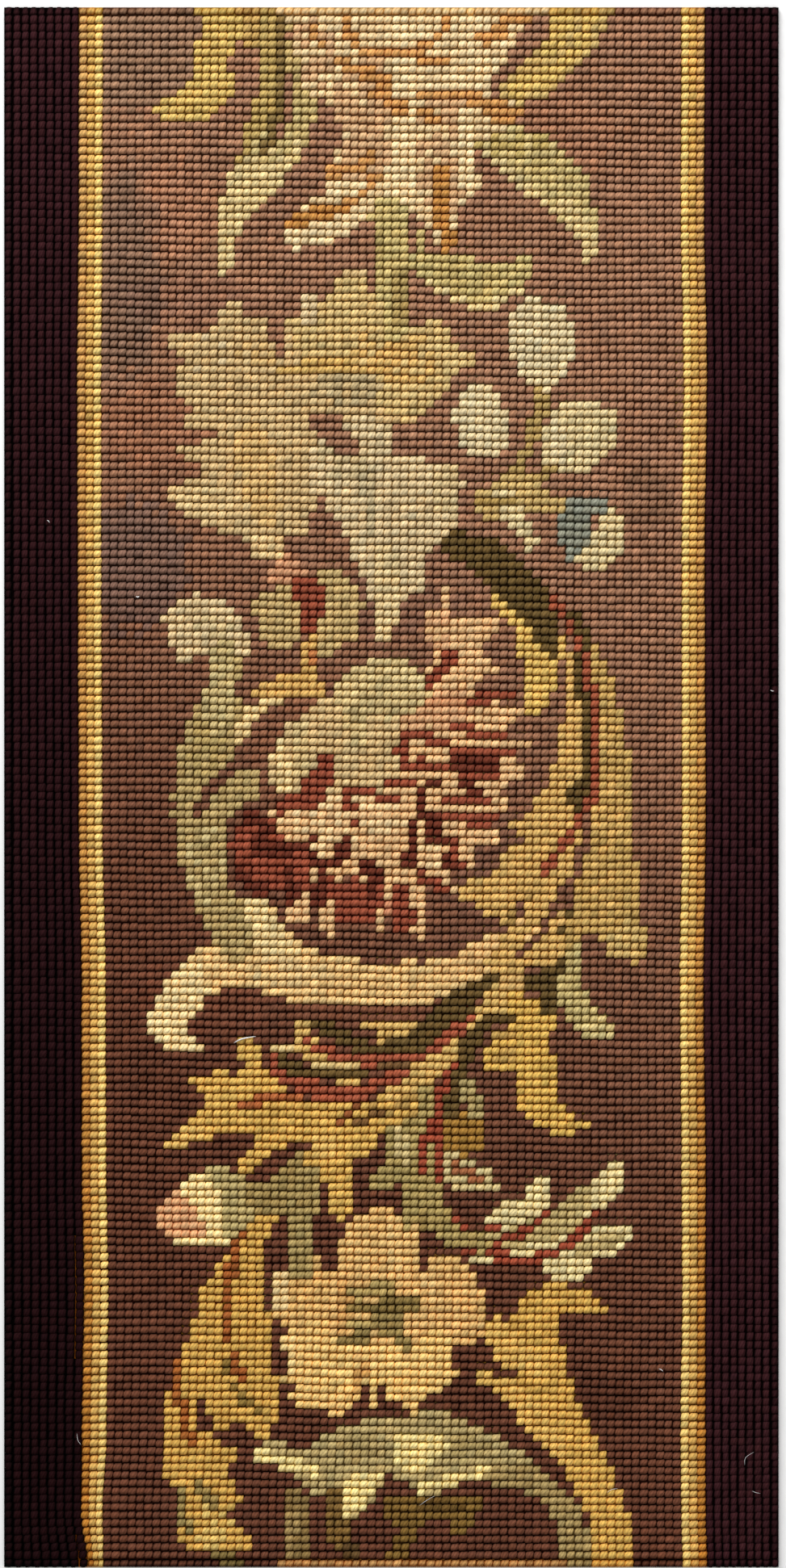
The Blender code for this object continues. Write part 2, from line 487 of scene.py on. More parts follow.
def wool_yarn(name, crown_highlight, ply_depth=0.6, heather=0.16):
    """Tapestry wool: the chart's colour, heathered fibres, slanting plies with painted shade between them,
    and painted shade low down between the stitches.

    How much paler than its ends a stitch's crown is painted: a painted highlight on the crown and painted
    shade at the ends.
    """
    material, nodes, links, shader = new_material(name, roughness=0.9, gloss=0.04)

    def maths(operation, first, second=0.0, third=0.0):
        node = nodes.new("ShaderNodeMath")
        node.operation = operation
        for socket, value in zip(node.inputs, (first, second, third)):
            if isinstance(value, (int, float)):
                socket.default_value = value
            else:
                links.new(value, socket)
        return node.outputs[0]

    dyed = nodes.new("ShaderNodeAttribute")
    dyed.attribute_name = "wool"
    lot = nodes.new("ShaderNodeAttribute")
    lot.attribute_name = "lot"
    chance = lot.outputs["Fac"]
    spot = nodes.new("ShaderNodeUVMap")
    spot.uv_map = "stitch"
    sides = nodes.new("ShaderNodeSeparateXYZ")
    links.new(spot.outputs[0], sides.inputs[0])
    object_place = nodes.new("ShaderNodeTexCoord").outputs["Object"]

    # The plies are cords that lean to the right as the stitch does, and each stitch's start elsewhere.
    over = maths("SUBTRACT", sides.outputs["X"], maths("MULTIPLY", sides.outputs["Y"], PLY_LEAN))
    along = maths("ADD", sides.outputs["Y"], maths("MULTIPLY", sides.outputs["X"], PLY_LEAN))
    bend = noise_colour(nodes, links, object_place, 380.0, -PLY_BEND, PLY_BEND, detail=0.0)
    phase = maths("ADD", maths("ADD", maths("MULTIPLY", over, PLIES), chance), bend)
    part = maths("FRACT", phase)
    ply = maths("MULTIPLY", maths("MULTIPLY", part, maths("SUBTRACT", 1.0, part)), 4.0)

    fibre_place = nodes.new("ShaderNodeCombineXYZ")
    links.new(maths("MULTIPLY", over, 20.0), fibre_place.inputs["X"])
    links.new(maths("MULTIPLY", along, 3.6), fibre_place.inputs["Y"])
    links.new(maths("MULTIPLY", chance, 40.0), fibre_place.inputs["Z"])
    fibre = noise_colour(nodes, links, fibre_place.outputs[0], 1.0, 0.0, 1.0)

    heathered = noise_colour(nodes, links, object_place, 700.0, 1.0 - heather, 1.0 + heather)
    lot_shade = maths("MULTIPLY_ADD", chance, 0.14, 0.93)
    # Painted shade low between the stitches: towards the canvas the wool's colour is raised to a power,
    # darker and deeper in hue.
    high = nodes.new("ShaderNodeSeparateXYZ")
    links.new(object_place, high.inputs[0])
    rise = nodes.new("ShaderNodeMapRange")
    rise.interpolation_type = "SMOOTHSTEP"
    rise.inputs["From Min"].default_value = CANVAS_TOP + 0.20 * STITCH_HEIGHT
    rise.inputs["From Max"].default_value = CANVAS_TOP + 0.97 * STITCH_HEIGHT
    links.new(high.outputs["Z"], rise.inputs["Value"])
    painted_shade = nodes.new("ShaderNodeGamma")
    painted_shade.inputs["Gamma"].default_value = PAINTED_SHADE_GAMMA
    links.new(dyed.outputs["Color"], painted_shade.inputs["Color"])
    shade_by_height = nodes.new("ShaderNodeMix")
    shade_by_height.data_type = "RGBA"
    links.new(rise.outputs["Result"], shade_by_height.inputs["Factor"])
    links.new(painted_shade.outputs[0], shade_by_height.inputs["A"])
    links.new(dyed.outputs["Color"], shade_by_height.inputs["B"])
    # A pillow's height over the stitch: its crown gets a painted highlight and its ends painted shade, and
    # its top turns away to every side.
    aside = maths("MULTIPLY_ADD", sides.outputs["X"], 2.0, -1.0)
    beyond = maths("MULTIPLY_ADD", sides.outputs["Y"], 2.0, -1.0)
    pillow = maths("SUBTRACT", 1.0, maths("MULTIPLY", beyond, beyond))
    pillow = maths("SUBTRACT", pillow, maths("MULTIPLY", maths("POWER", maths("ABSOLUTE", aside), 6.0), 0.5))
    # Painted highlight on each stitch's crown and painted shade at its ends.
    painted_crown_light = maths("MULTIPLY_ADD", pillow, crown_highlight, 1.0 - PILLOW_MEAN * crown_highlight)
    # Painted shade in the grooves between the plies and a painted highlight along each cord.
    painted_ply_shade = maths("MULTIPLY_ADD", ply, 0.36, 0.76)
    fibre_shade = maths("MULTIPLY_ADD", fibre, 0.26, 0.87)
    shade = lot_shade
    for part in (heathered, painted_ply_shade, fibre_shade, painted_crown_light):
        shade = maths("MULTIPLY", shade, part)
    tinted = nodes.new("ShaderNodeVectorMath")
    tinted.operation = "SCALE"
    links.new(shade_by_height.outputs["Result"], tinted.inputs[0])
    links.new(shade, tinted.inputs["Scale"])
    links.new(tinted.outputs[0], shader.inputs["Base Color"])

    relief = maths("ADD", maths("MULTIPLY", ply, 0.45), maths("MULTIPLY", fibre, 0.16))
    relief = maths("ADD", relief, maths("MULTIPLY", pillow, 0.9))
    bump = nodes.new("ShaderNodeBump")
    bump.inputs["Strength"].default_value = ply_depth
    bump.inputs["Distance"].default_value = 0.0004
    links.new(relief, bump.inputs["Height"])
    links.new(bump.outputs[0], shader.inputs["Normal"])
    return material


def curve_through(points, steps=8, closed=False):
    """Points along a smooth curve through those given."""
    points = np.array(points, float)
    if closed:
        ends = np.array([points[-1], *points, points[0], points[1]])
    else:
        ends = np.array([points[0], *points, points[-1]])
    found = []
    for before, start, end, after in zip(ends, ends[1:], ends[2:], ends[3:]):
        for step in range(steps):
            t = step / steps
            found.append(0.5 * (
                2 * start + (end - before) * t + (2 * before - 5 * start + 4 * end - after) * t * t
                + (3 * start - before - 3 * end + after) * t ** 3
            ))
    return np.array(found if closed else found + [ends[-2]])


RAGGED, UNEVEN = np.random.default_rng(11).uniform(-1.0, 1.0, (2, len(across)))
# How far an outline, a stroke's edge and a blob's edge stray by chance from stitch to stitch.
WAVER = 0.16
STROKE_WAVER = 0.05
BLOB_WAVER = 0.1
MOTIF_WOOL = wool_yarn("motif_wool", crown_highlight=0.10)


class Motif:
    """A flower or leaf on the chart: the wool of every stitch that it covers, the last drawn on top."""

    def __init__(self):
        self.wool = np.full((len(across), 3), np.nan)

    def put(self, covered, wool, on_it):
        if on_it:
            covered = covered & ~np.isnan(self.wool[:, 0])
        self.wool[covered] = wool

    def fill(self, points, wool=np.nan, on_it=False):
        """The inside of a smooth closed outline. Without a wool it is cut out, and the ground shows there."""
        outline = curve_through(points, closed=True)
        inside = np.zeros(len(across), bool)
        x, y = across + WAVER * RAGGED, down + WAVER * UNEVEN
        for start, end in zip(outline, np.roll(outline, -1, axis=0)):
            if start[1] == end[1]:
                continue
            crosses = (start[1] > y) != (end[1] > y)
            slope = (end[0] - start[0]) / (end[1] - start[1])
            inside ^= crosses & (x < start[0] + (y - start[1]) * slope)
        self.put(inside, wool, on_it)

    def stroke(self, points, widths, wool, on_it=False):
        """A stem, vein or finger along a smooth curve, with a width for each point or one for all."""
        widths = np.broadcast_to(np.asarray(widths, float).reshape(-1), (len(points),))
        path = curve_through(np.column_stack((points, widths)))
        near = np.zeros(len(across), bool)
        for start, end in zip(path, path[1:]):
            run = end[:2] - start[:2]
            length = max(run @ run, 1e-9)
            t = np.clip(((across - start[0]) * run[0] + (down - start[1]) * run[1]) / length, 0, 1)
            apart = np.hypot(across - start[0] - t * run[0], down - start[1] - t * run[1])
            near |= apart < (start[2] + t * (end[2] - start[2])) / 2 + STROKE_WAVER * RAGGED
        self.put(near, wool, on_it)

    def blob(self, centre, radii, wool, on_it=False, share=1.0):
        """An ellipse, or with a share under 1 only some of its stitches."""
        apart = np.hypot((across - centre[0]) / radii[0], (down - centre[1]) / radii[1])
        inside = apart < 1 + BLOB_WAVER * RAGGED
        self.put(inside & (RAGGED < 2 * share - 1), wool, on_it)

    def work(self, name, seed):
        """Makes the motif's piece, from the stitches of the band where nothing was worked before."""
        picked = ~np.isnan(self.wool[:, 0]) & in_band & ~worked
        stitch_colour[picked] = self.wool[picked]
        piece = work_stitches(name, picked, BAND_STITCH, MOTIF_WOOL, seed)


# The bloom at the head
# A big open bloom that the head cuts through: cream petals with rosy-beige middles and ochre veins, two
# lobes that hang below, and the cup of green sepals under it.

CREAM = (219, 193, 147)
LIGHT_CREAM = (228, 205, 160)
ROSY_BEIGE = (200, 163, 121)
OCHRE = (200, 148, 88)
DEEP_OCHRE = (188, 134, 70)
bloom = Motif()
bloom.fill((
    (35, -2), (65.4, -2), (62.8, 3), (60.6, 7), (58.6, 10.4), (62.8, 12.4), (61, 15), (57, 17), (57.8, 22),
    (55.4, 25), (55, 29.4), (53, 30), (51.2, 27), (48.6, 24.6), (44.5, 26.4), (40, 29), (34, 29.6),
    (34.6, 26), (38.6, 22.6), (39.4, 19.4), (41.2, 16), (39.6, 12.6), (36.4, 9.4), (35.4, 4),
), CREAM)
bloom.blob((53.5, 5), (8, 5.5), LIGHT_CREAM, on_it=True, share=0.6)
bloom.blob((44, 14), (4.5, 8.5), ROSY_BEIGE, on_it=True, share=0.8)
bloom.blob((53.4, 18), (4, 8), ROSY_BEIGE, on_it=True, share=0.7)
bloom.blob((37.5, 6), (3, 5), ROSY_BEIGE, on_it=True, share=0.5)
bloom.stroke(((48.6, 10), (48.4, 18), (47.8, 25)), 3.4, LIGHT_CREAM, on_it=True)
bloom.stroke(((58, 7), (56, 14), (56, 22)), 1.6, LIGHT_CREAM, on_it=True)
bloom.stroke(((34.4, 28.8), (39.4, 28.2), (45, 25.8)), (2.2, 2.6, 1.6), LIGHT_CREAM, on_it=True)
bloom.stroke(((38.6, 23), (43, 22.4)), 1.8, LIGHT_CREAM, on_it=True)
bloom.stroke(((34.6, 26.4), (38.4, 25.6), (41.6, 24.8)), (2.0, 2.0, 1.2), DEEP_OCHRE, on_it=True)
for points, width in (
    (((39.4, 20.4), (42.6, 19.8), (44.6, 18.4)), 1.5), (((45, 21), (43.4, 23), (41.6, 24.4)), 1.1),
    (((37.2, 2.6), (38.2, 4.2)), 1.3), (((40, 6), (42.4, 7.6), (44, 8.2)), 1.2),
    (((44.6, 8.4), (46.6, 9.6)), 1.5), (((41.2, 2), (42.2, 3.6), (42.6, 5)), 1.2),
    (((44.2, 5.4), (48, 5.6), (50.6, 5.6)), 1.3), (((50.2, 6.8), (53.4, 6.7)), 1.2),
    (((50.6, 5), (52.6, 3.4), (54, 1.6)), 1.0), (((45.2, 10.6), (47, 12), (48.6, 12.4)), 1.4),
    (((50.6, 12.4), (52.4, 14.2)), 1.0), (((50.4, 10.6), (55.6, 10.7)), 1.2),
    (((56.4, 11.4), (59, 12.2), (62, 13.8)), (1.4, 2.4, 3.0)), (((58.4, 3.8), (60, 3)), 2.0),
    (((61, 1.6), (63.4, 1)), 1.2), (((59.4, 9.6), (61, 11)), 1.0),
):
    bloom.stroke(points, width, OCHRE, on_it=True)
bloom.stroke(((53.1, 20), (53.2, 24.4), (53.8, 29.8)), (1.2, 1.7, 2.3), DEEP_OCHRE, on_it=True)
SEPAL_GREEN = (198, 178, 118)
bloom.stroke(((46.8, 25.6), (46.8, 31), (47.4, 36), (47.6, 40)), (4.6, 4.0, 3.8, 2.6), SEPAL_GREEN)
bloom.stroke(((47.8, 33), (48.2, 38)), (1.6, 2.4), (174, 150, 94), on_it=True)
bloom.stroke(((45.4, 28), (45.4, 32)), 1.2, (180, 158, 100), on_it=True)
bloom.fill((
    (49.4, 30.4), (54, 30.6), (59, 31.4), (64.2, 31), (63.4, 34), (60.6, 36.8), (57, 37.6), (52.6, 35),
    (50, 33),
), SEPAL_GREEN)
bloom.stroke(((51.4, 34.4), (55, 36.8), (59, 37.2), (62.4, 35)), 1.7, (224, 202, 146), on_it=True)
bloom.blob((56, 33), (4, 1.4), (188, 166, 106), on_it=True, share=0.7)
bloom.stroke(((50.4, 28.4), (51, 31)), 1.4, SEPAL_GREEN)
bloom.work("head_bloom", 61)

# The scrolls at the head
# Two yellow scrolls curl away from the bloom with a pointed leaf under each. The left leaf hangs from an
# olive stalk with a dark line down it.

SCROLL_YELLOW = (208, 178, 104)
OLIVE_GOLD = (196, 168, 106)
LEAF_GREEN = (198, 178, 122)
LEAF_CREAM = (212, 190, 137)
DARK_LINE = (134, 110, 66)
head_scrolls = Motif()
head_scrolls.fill((
    (24, -2), (30.6, -2), (29, 3.6), (27.2, 7), (28, 10), (25.4, 13.2), (21, 14.6), (17.8, 12.6),
    (21, 10.8), (23, 8.4), (23.6, 4),
), SCROLL_YELLOW)
head_scrolls.fill(((28.8, -2), (34, -2), (33, 3), (29.6, 5)), (190, 156, 92))
head_scrolls.fill((
    (66.4, -2), (74, -2), (73.4, 2), (71.2, 5.4), (67.6, 9.4), (64, 11.8), (60.4, 11), (61.6, 8), (64.6, 5),
    (66.4, 2),
), OLIVE_GOLD)
head_scrolls.stroke(((68.2, -1), (67.4, 3), (65.4, 6)), (3.4, 2.4, 1.4), SCROLL_YELLOW, on_it=True)
head_scrolls.stroke(((71.6, 1), (69, 6), (65, 10)), 1.4, SCROLL_YELLOW, on_it=True)
head_scrolls.stroke(((62, 10), (66, 8)), (2.4, 1.4), SCROLL_YELLOW, on_it=True)
head_scrolls.stroke(((32.0, -1), (32.0, 9), (31.2, 14), (29.6, 18.6)), (2.8, 2.4, 3.4, 2.6), (184, 158, 96))
head_scrolls.stroke(((35.6, -1), (35.6, 8)), 2.2, (190, 166, 110))
head_scrolls.stroke(((36.6, 8.6), (36.4, 13), (34.4, 18)), (2.6, 3.0, 3.2), (190, 168, 112))
head_scrolls.fill((
    (30.4, 17), (35.6, 16), (34.8, 20), (32.6, 23), (29.4, 26.6), (28, 30.6), (26.6, 33), (26, 27),
    (27, 21),
), LEAF_CREAM)
head_scrolls.blob((32.4, 17), (3, 2.2), LEAF_GREEN, on_it=True, share=0.8)
head_scrolls.stroke(((33.6, -1), (33.7, 8), (33.0, 14), (31.2, 18.4)), (1.5, 1.4, 1.3, 0.9), DARK_LINE)
head_scrolls.fill((
    (56.6, 14.8), (62, 14.8), (66.4, 16.4), (70, 19.8), (71.4, 24), (72.4, 28.4), (71, 31.8), (69.2, 28.6),
    (66, 25), (61.6, 21.6), (58.4, 18.6),
), LEAF_GREEN)
head_scrolls.stroke(((58.4, 18), (62.6, 22), (67, 25.6)), 1.5, LEAF_CREAM, on_it=True)
head_scrolls.stroke(((67.6, 24.6), (70, 27), (70.8, 30.8)), (2, 2.8, 2), LEAF_CREAM, on_it=True)
head_scrolls.blob((62, 16.8), (4.4, 1.8), (182, 160, 98), on_it=True, share=0.7)
head_scrolls.blob((67, 19.6), (3, 2.6), (190, 168, 110), on_it=True, share=0.5)
head_scrolls.work("head_scrolls", 62)

# The vine leaf
# A broad lobed leaf, buff on the left, gold at the top and pale below, with the ground showing through two
# small eyes between its lobes.

BUFF = (203, 175, 125)
LEAF_GOLD = (206, 179, 121)
GREY_BUFF = (186, 165, 122)
PALE_LEAF = (210, 188, 145)
vine_leaf = Motif()
vine_leaf.fill((
    (20, 40.6), (25, 40.4), (25.6, 37.4), (28.4, 36.4), (29.6, 38.2), (32.4, 38), (33, 42.6), (34.2, 38.4),
    (36, 38), (36.2, 34.8), (38.6, 36), (40.8, 33.4), (43.4, 32.4), (45, 36), (49.6, 39), (53, 38.6),
    (54.6, 41.6), (57.6, 43.8), (55, 45.6), (53.6, 48), (51.6, 49.8), (49, 52), (47, 54.6), (50.6, 56),
    (55.2, 57.4), (55, 64), (51.6, 67.4), (51, 72), (48.4, 73.6), (47.4, 77.4), (45.6, 79), (45, 74),
    (43, 70), (41.4, 65.6), (38, 60.6), (37, 65.6), (34.2, 65.4), (33.4, 68.2), (30.4, 68), (29.4, 65.6),
    (24.4, 64.4), (19.6, 60.2), (24.8, 57.4), (20.8, 55), (25.8, 53), (21.6, 51.6), (22.8, 49.6),
    (20.8, 47), (21.4, 44),
), BUFF)
vine_leaf.fill((
    (37, 34), (57, 34), (58, 45), (50, 51), (46, 49.6), (38, 44.8), (34.6, 40),
), LEAF_GOLD, on_it=True)
vine_leaf.stroke(((36.8, 35), (36.8, 38.6)), 2.0, PALE_LEAF, on_it=True)
vine_leaf.stroke(((33, 45.4), (38, 44.4), (47, 45)), (1.2, 1.6, 1.2), (206, 170, 100), on_it=True)
vine_leaf.blob((47, 43.4), (5.6, 3.6), (213, 176, 108), on_it=True, share=0.6)
vine_leaf.blob((41.4, 47.2), (4.2, 2.4), GREY_BUFF, on_it=True, share=0.75)
vine_leaf.fill((
    (37, 55), (44, 50.4), (50, 55), (56, 57), (56, 65), (46, 80), (38, 62),
), PALE_LEAF, on_it=True)
vine_leaf.stroke(((44, 57), (44.4, 65)), 1.4, (192, 174, 134), on_it=True)
vine_leaf.blob((40.4, 56.6), (4, 2), (200, 180, 136), on_it=True, share=0.6)
vine_leaf.blob((53.6, 60), (2, 4), (202, 180, 134), on_it=True, share=0.6)
vine_leaf.stroke(((46.4, 68), (46.4, 78)), 3.0, (216, 193, 144), on_it=True)
vine_leaf.blob((24, 42.8), (3.4, 2.4), PALE_LEAF, on_it=True, share=0.3)
vine_leaf.blob((24.6, 61.4), (4, 2.4), (216, 190, 138), on_it=True, share=0.8)
vine_leaf.stroke(((31.4, 66), (32.6, 68)), 2.4, (216, 190, 138), on_it=True)
vine_leaf.stroke(((30, 54), (31.6, 62)), (4.4, 4.0), (208, 175, 116), on_it=True)
vine_leaf.blob((30, 43.4), (3.4, 2), (212, 178, 118), on_it=True, share=0.5)
vine_leaf.fill(((32.3, 36), (34.3, 36), (34.1, 40), (33.7, 42.9), (32.8, 42.3), (32.3, 39.6)))
vine_leaf.fill(((37.6, 50.6), (39.8, 50.4), (42.2, 52.8), (43.4, 55.4), (40.6, 55.4), (38.2, 53.4)))
vine_leaf.stroke(((47.8, 52.6), (51, 52.8), (55.4, 54.4)), (1.4, 3.4, 5.0), np.nan)
vine_leaf.work("vine_leaf", 63)

# The berries
# A sprig of three pale berries on olive stalks over two narrow leaves, and a small half-open one in grey-blue
# and cream.

BERRY = (216, 198, 156)
BERRY_CREAM = (212, 193, 146)
STALK = (178, 150, 92)
NARROW_LEAF = (196, 168, 108)
berries = Motif()
berries.stroke((
    (65.6, 46.6), (65, 50), (63.8, 54), (62.6, 56.6), (61, 59.4),
), (2.0, 1.9, 1.5, 1.8, 2.4), STALK)
berries.stroke(((66.6, 56.4), (64.6, 59)), (1.6, 2.0), STALK)
berries.fill((
    (56.4, 61.6), (59.6, 58.6), (63.6, 57.4), (66, 60), (68.8, 61), (66.4, 62.6), (61.4, 62.4), (59, 63.4),
), NARROW_LEAF)
berries.stroke(((60.6, 60.8), (62.6, 64), (64, 66.4)), (2.6, 2.6, 1.6), BERRY_CREAM)
berries.stroke(((58, 61.4), (62, 61.4)), 1.3, (166, 138, 80), on_it=True)
berries.fill((
    (61.2, 39), (63.4, 36.4), (67, 36.6), (69.4, 40), (69, 43.6), (67, 46.8), (64.4, 47), (62, 44),
), BERRY)
berries.fill(((55.4, 48.2), (58, 46.8), (60.6, 49), (61.4, 52), (60, 55.8), (56.6, 55.4), (54.6, 52)), BERRY)
berries.fill((
    (66, 51), (69, 48.4), (73, 49.4), (74.8, 52), (73.2, 55.4), (70.6, 57.4), (66.6, 57), (65.2, 54),
), BERRY_CREAM)
berries.stroke(((67, 52), (67, 55.6)), 2.0, BERRY, on_it=True)
berries.fill((
    (73.2, 61.6), (74.8, 63), (75.2, 66.6), (73.6, 69.4), (70.8, 69.8), (69.4, 67), (71.6, 65.4),
), BERRY_CREAM)
berries.stroke(((72.4, 61.8), (70, 61.8), (69.4, 64.4), (68.8, 67.4)), (1.6, 2.6, 4.4, 1.9), (140, 140, 122))
berries.work("berries", 64)

# The brick bud
# A small bud with an orange tip, a brick-red middle and a green sepal on each side, on a golden stalk.

ORANGE_PINK = (200, 148, 110)
BRICK = (149, 77, 55)
DARK_BRICK = (108, 53, 38)
SEPAL = (192, 166, 112)
brick_bud = Motif()
brick_bud.fill(((33.4, 67.8), (35.4, 68.2), (38.2, 71.4), (35, 72.6), (32, 70.6)), ORANGE_PINK)
brick_bud.fill(((30.4, 74), (32.6, 71.8), (34.8, 72.4), (36.4, 77.4), (34.4, 79.4), (31.4, 78.6)), SEPAL)
brick_bud.fill(((38.4, 70.4), (41.4, 70.4), (43.4, 73.4), (42.8, 77.4), (40.6, 79.6), (38.2, 79.4)), SEPAL)
brick_bud.fill(((35.2, 71), (38.4, 71), (38.6, 76), (37.4, 79.2), (36, 76.4)), BRICK)
brick_bud.stroke(((37.4, 78.4), (37, 82), (37.6, 84.6)), (2.0, 1.8, 2.4), (205, 166, 96))
brick_bud.stroke(((37.6, 84.6), (34, 83.8), (30.4, 85)), (2.2, 2.6, 1.6), (212, 172, 100))
brick_bud.stroke(((37, 79.6), (37, 81)), 1.0, (184, 120, 72), on_it=True)
brick_bud.work("brick_bud", 65)

# The tulip
# The panel's biggest flower: a pale green and cream bowl that opens to the right in peach-pink petals, with
# brick-red flames along them and long fingers that hang below.

BOWL_CREAM = (207, 179, 128)
BOWL_GREEN = (202, 180, 128)
PETAL = (221, 182, 131)
PETAL_PINK = (212, 166, 121)
PETAL_LIGHT = (230, 200, 150)
tulip = Motif()
tulip.fill((
    (50, 86), (55, 85), (63.2, 87.2), (60.4, 88.6), (62.6, 89.6), (61, 90.4), (64.6, 91), (61.4, 92.6),
    (63.4, 95), (60.4, 96.6), (61.2, 98.8), (59, 100.4), (60.4, 103.2), (57, 104), (57.8, 106),
    (54.4, 106.6), (54.6, 109.2), (51, 107.6), (51.2, 115.4), (49.4, 114.6), (48.4, 109), (45.6, 115),
    (44.4, 110), (42, 107.2), (40.6, 109), (40.4, 115), (38.6, 114), (38, 108), (36.8, 113.4),
    (34.4, 112.6), (33.8, 107), (32.2, 101.6), (34, 97.6), (44, 95), (47, 88),
), PETAL)
tulip.blob((41, 100.4), (8.6, 2.8), PETAL_LIGHT, on_it=True, share=0.6)
tulip.fill((
    (51, 75), (52.6, 74), (53.2, 71.8), (54.6, 73), (54.4, 75.6), (59.8, 76), (59.2, 78.4), (57.6, 79.6),
    (59.8, 82), (57.4, 84), (57, 85.6), (51.4, 85.4), (51.8, 80),
), PETAL)
tulip.blob((51.6, 86.6), (5.4, 2.6), PETAL_PINK, on_it=True)
tulip.blob((52.8, 77), (1.8, 3), PETAL_PINK, on_it=True, share=0.5)
tulip.fill((
    (36.4, 87.4), (40, 85.4), (47.6, 86.6), (48.2, 92), (47.6, 96.4), (43, 97), (36, 98), (32.6, 97),
    (32.2, 93), (34, 89.6),
), BOWL_CREAM)
tulip.fill(((40, 86.4), (41, 83), (44, 81), (48.6, 80.8), (51.4, 83.6), (50.8, 86.6), (46, 88)), BOWL_GREEN)
tulip.stroke(((42.6, 87), (42.8, 90.6)), (3.4, 2.0), BOWL_GREEN, on_it=True)
tulip.stroke(((36, 89.4), (36, 94.6)), 1.6, (202, 178, 126), on_it=True)
tulip.stroke(((46.6, 82), (50.2, 83.6)), (1.6, 2.4), (220, 198, 144), on_it=True)
tulip.stroke(((33.4, 91.6), (33.6, 96.4)), 2.0, (226, 202, 148), on_it=True)
tulip.stroke(((41, 83.6), (42.2, 85.6)), 1.6, (220, 196, 140), on_it=True)
tulip.stroke(((39, 92.4), (38.6, 95), (37, 97.6), (33.6, 99)), (1.0, 3.0, 3.0, 1.6), BRICK)
tulip.fill((
    (28.6, 100.8), (31.4, 100), (33.6, 102.4), (34.8, 106.6), (33, 109.6), (29.6, 108.6), (27.4, 104),
), BRICK)
for points, wide, wool in (
    (((29.6, 99.8), (31.8, 102), (30.6, 103.6)), 1.6, DARK_BRICK),
    (((31, 104.2), (34, 104.4)), 2.0, DARK_BRICK), (((28.6, 107.4), (31, 109.4)), 1.8, DARK_BRICK),
    (((34.4, 107), (35, 110)), 1.8, DARK_BRICK), (((36.4, 104.6), (36.4, 108)), 2.0, BRICK),
    (((35, 104), (36.4, 103.6)), 1.2, DARK_BRICK),
    (((37.6, 103.4), (38.6, 107), (38, 110.6)), 1.8, DARK_BRICK),
    (((41.6, 103.2), (40, 106)), 1.9, DARK_BRICK), (((39.8, 108.6), (41.2, 112)), 2.0, BRICK),
    (((43.6, 106.6), (45.4, 107.4), (44.4, 109.6)), 2.0, DARK_BRICK),
    (((42.4, 109), (43.6, 112.4)), 2.4, BRICK), (((45.6, 109.4), (44.6, 112.4)), 1.2, BRICK),
    (((48.2, 109.4), (48.4, 113.2)), 2.6, BRICK), (((46.8, 110.6), (47, 112)), 1.0, (204, 140, 104)),
    (((50.6, 97), (50.8, 100.6)), 1.0, DARK_BRICK), (((49.6, 101.4), (49.2, 106)), 1.6, DARK_BRICK),
    (((51.6, 100.6), (52.6, 103)), 2.2, DARK_BRICK), (((50.4, 107.6), (53, 108.8)), 1.6, BRICK),
    (((54.8, 103.4), (55, 106)), 1.4, BRICK), (((53.6, 105.4), (54.4, 106.6)), 1.0, DARK_BRICK),
    (((48.4, 90.4), (51.4, 90.1)), 1.4, BRICK), (((55, 88.8), (57, 88.6)), 1.2, BRICK),
    (((56.4, 90), (61, 89.9)), 1.3, BRICK), (((51.4, 91.2), (53.6, 91.2)), 1.0, BRICK),
    (((48.4, 92), (48.8, 94)), 1.6, BRICK), (((49, 93.6), (51, 93.4)), 1.1, BRICK),
    (((54.4, 92), (62, 91.8)), 1.1, BRICK), (((55, 93.4), (59.4, 93.4)), 2.2, DARK_BRICK),
    (((51.4, 94.4), (53.6, 94.4)), 1.1, BRICK), (((46.4, 96.2), (50, 96)), 1.0, BRICK),
    (((51.4, 96.2), (53, 96)), 1.0, DARK_BRICK), (((55.6, 95.2), (59.4, 95)), 1.4, BRICK),
    (((55.4, 96.4), (58, 97)), 1.2, DARK_BRICK), (((41, 97.4), (44.2, 97.2)), 1.2, BRICK),
    (((45.6, 98.3), (47.6, 98.2)), 1.0, BRICK), (((53.4, 98.2), (58.6, 98)), 1.2, BRICK),
    (((41.4, 99.2), (43, 99.4)), 1.1, BRICK), (((42.8, 100.6), (43, 101.4)), 1.2, BRICK),
    (((54, 100.4), (59.6, 100.2)), 1.2, BRICK), (((56, 101.6), (58.6, 101.6)), 1.0, BRICK),
    (((57, 85.6), (61.4, 85.4)), 1.2, BRICK), (((54.6, 80.2), (53.8, 81.2)), 1.9, BRICK),
    (((52.6, 82.2), (51.6, 84)), 1.2, BRICK), (((52, 86), (56, 85.8)), 1.0, (206, 150, 106)),
):
    tulip.stroke(points, wide, wool)
tulip.stroke(((38, 103.8), (38.6, 105)), 1.4, PETAL_LIGHT)
tulip.stroke(((51, 104.2), (53, 103.8)), 1.2, PETAL_LIGHT)
tulip.stroke(((51.6, 106), (52.2, 106.6)), 1.2, PETAL_LIGHT)
tulip.work("tulip", 66)

# The left scroll
# A sage-green acanthus limb that climbs from the crescent to a curled cream head, with a cream side leaf.

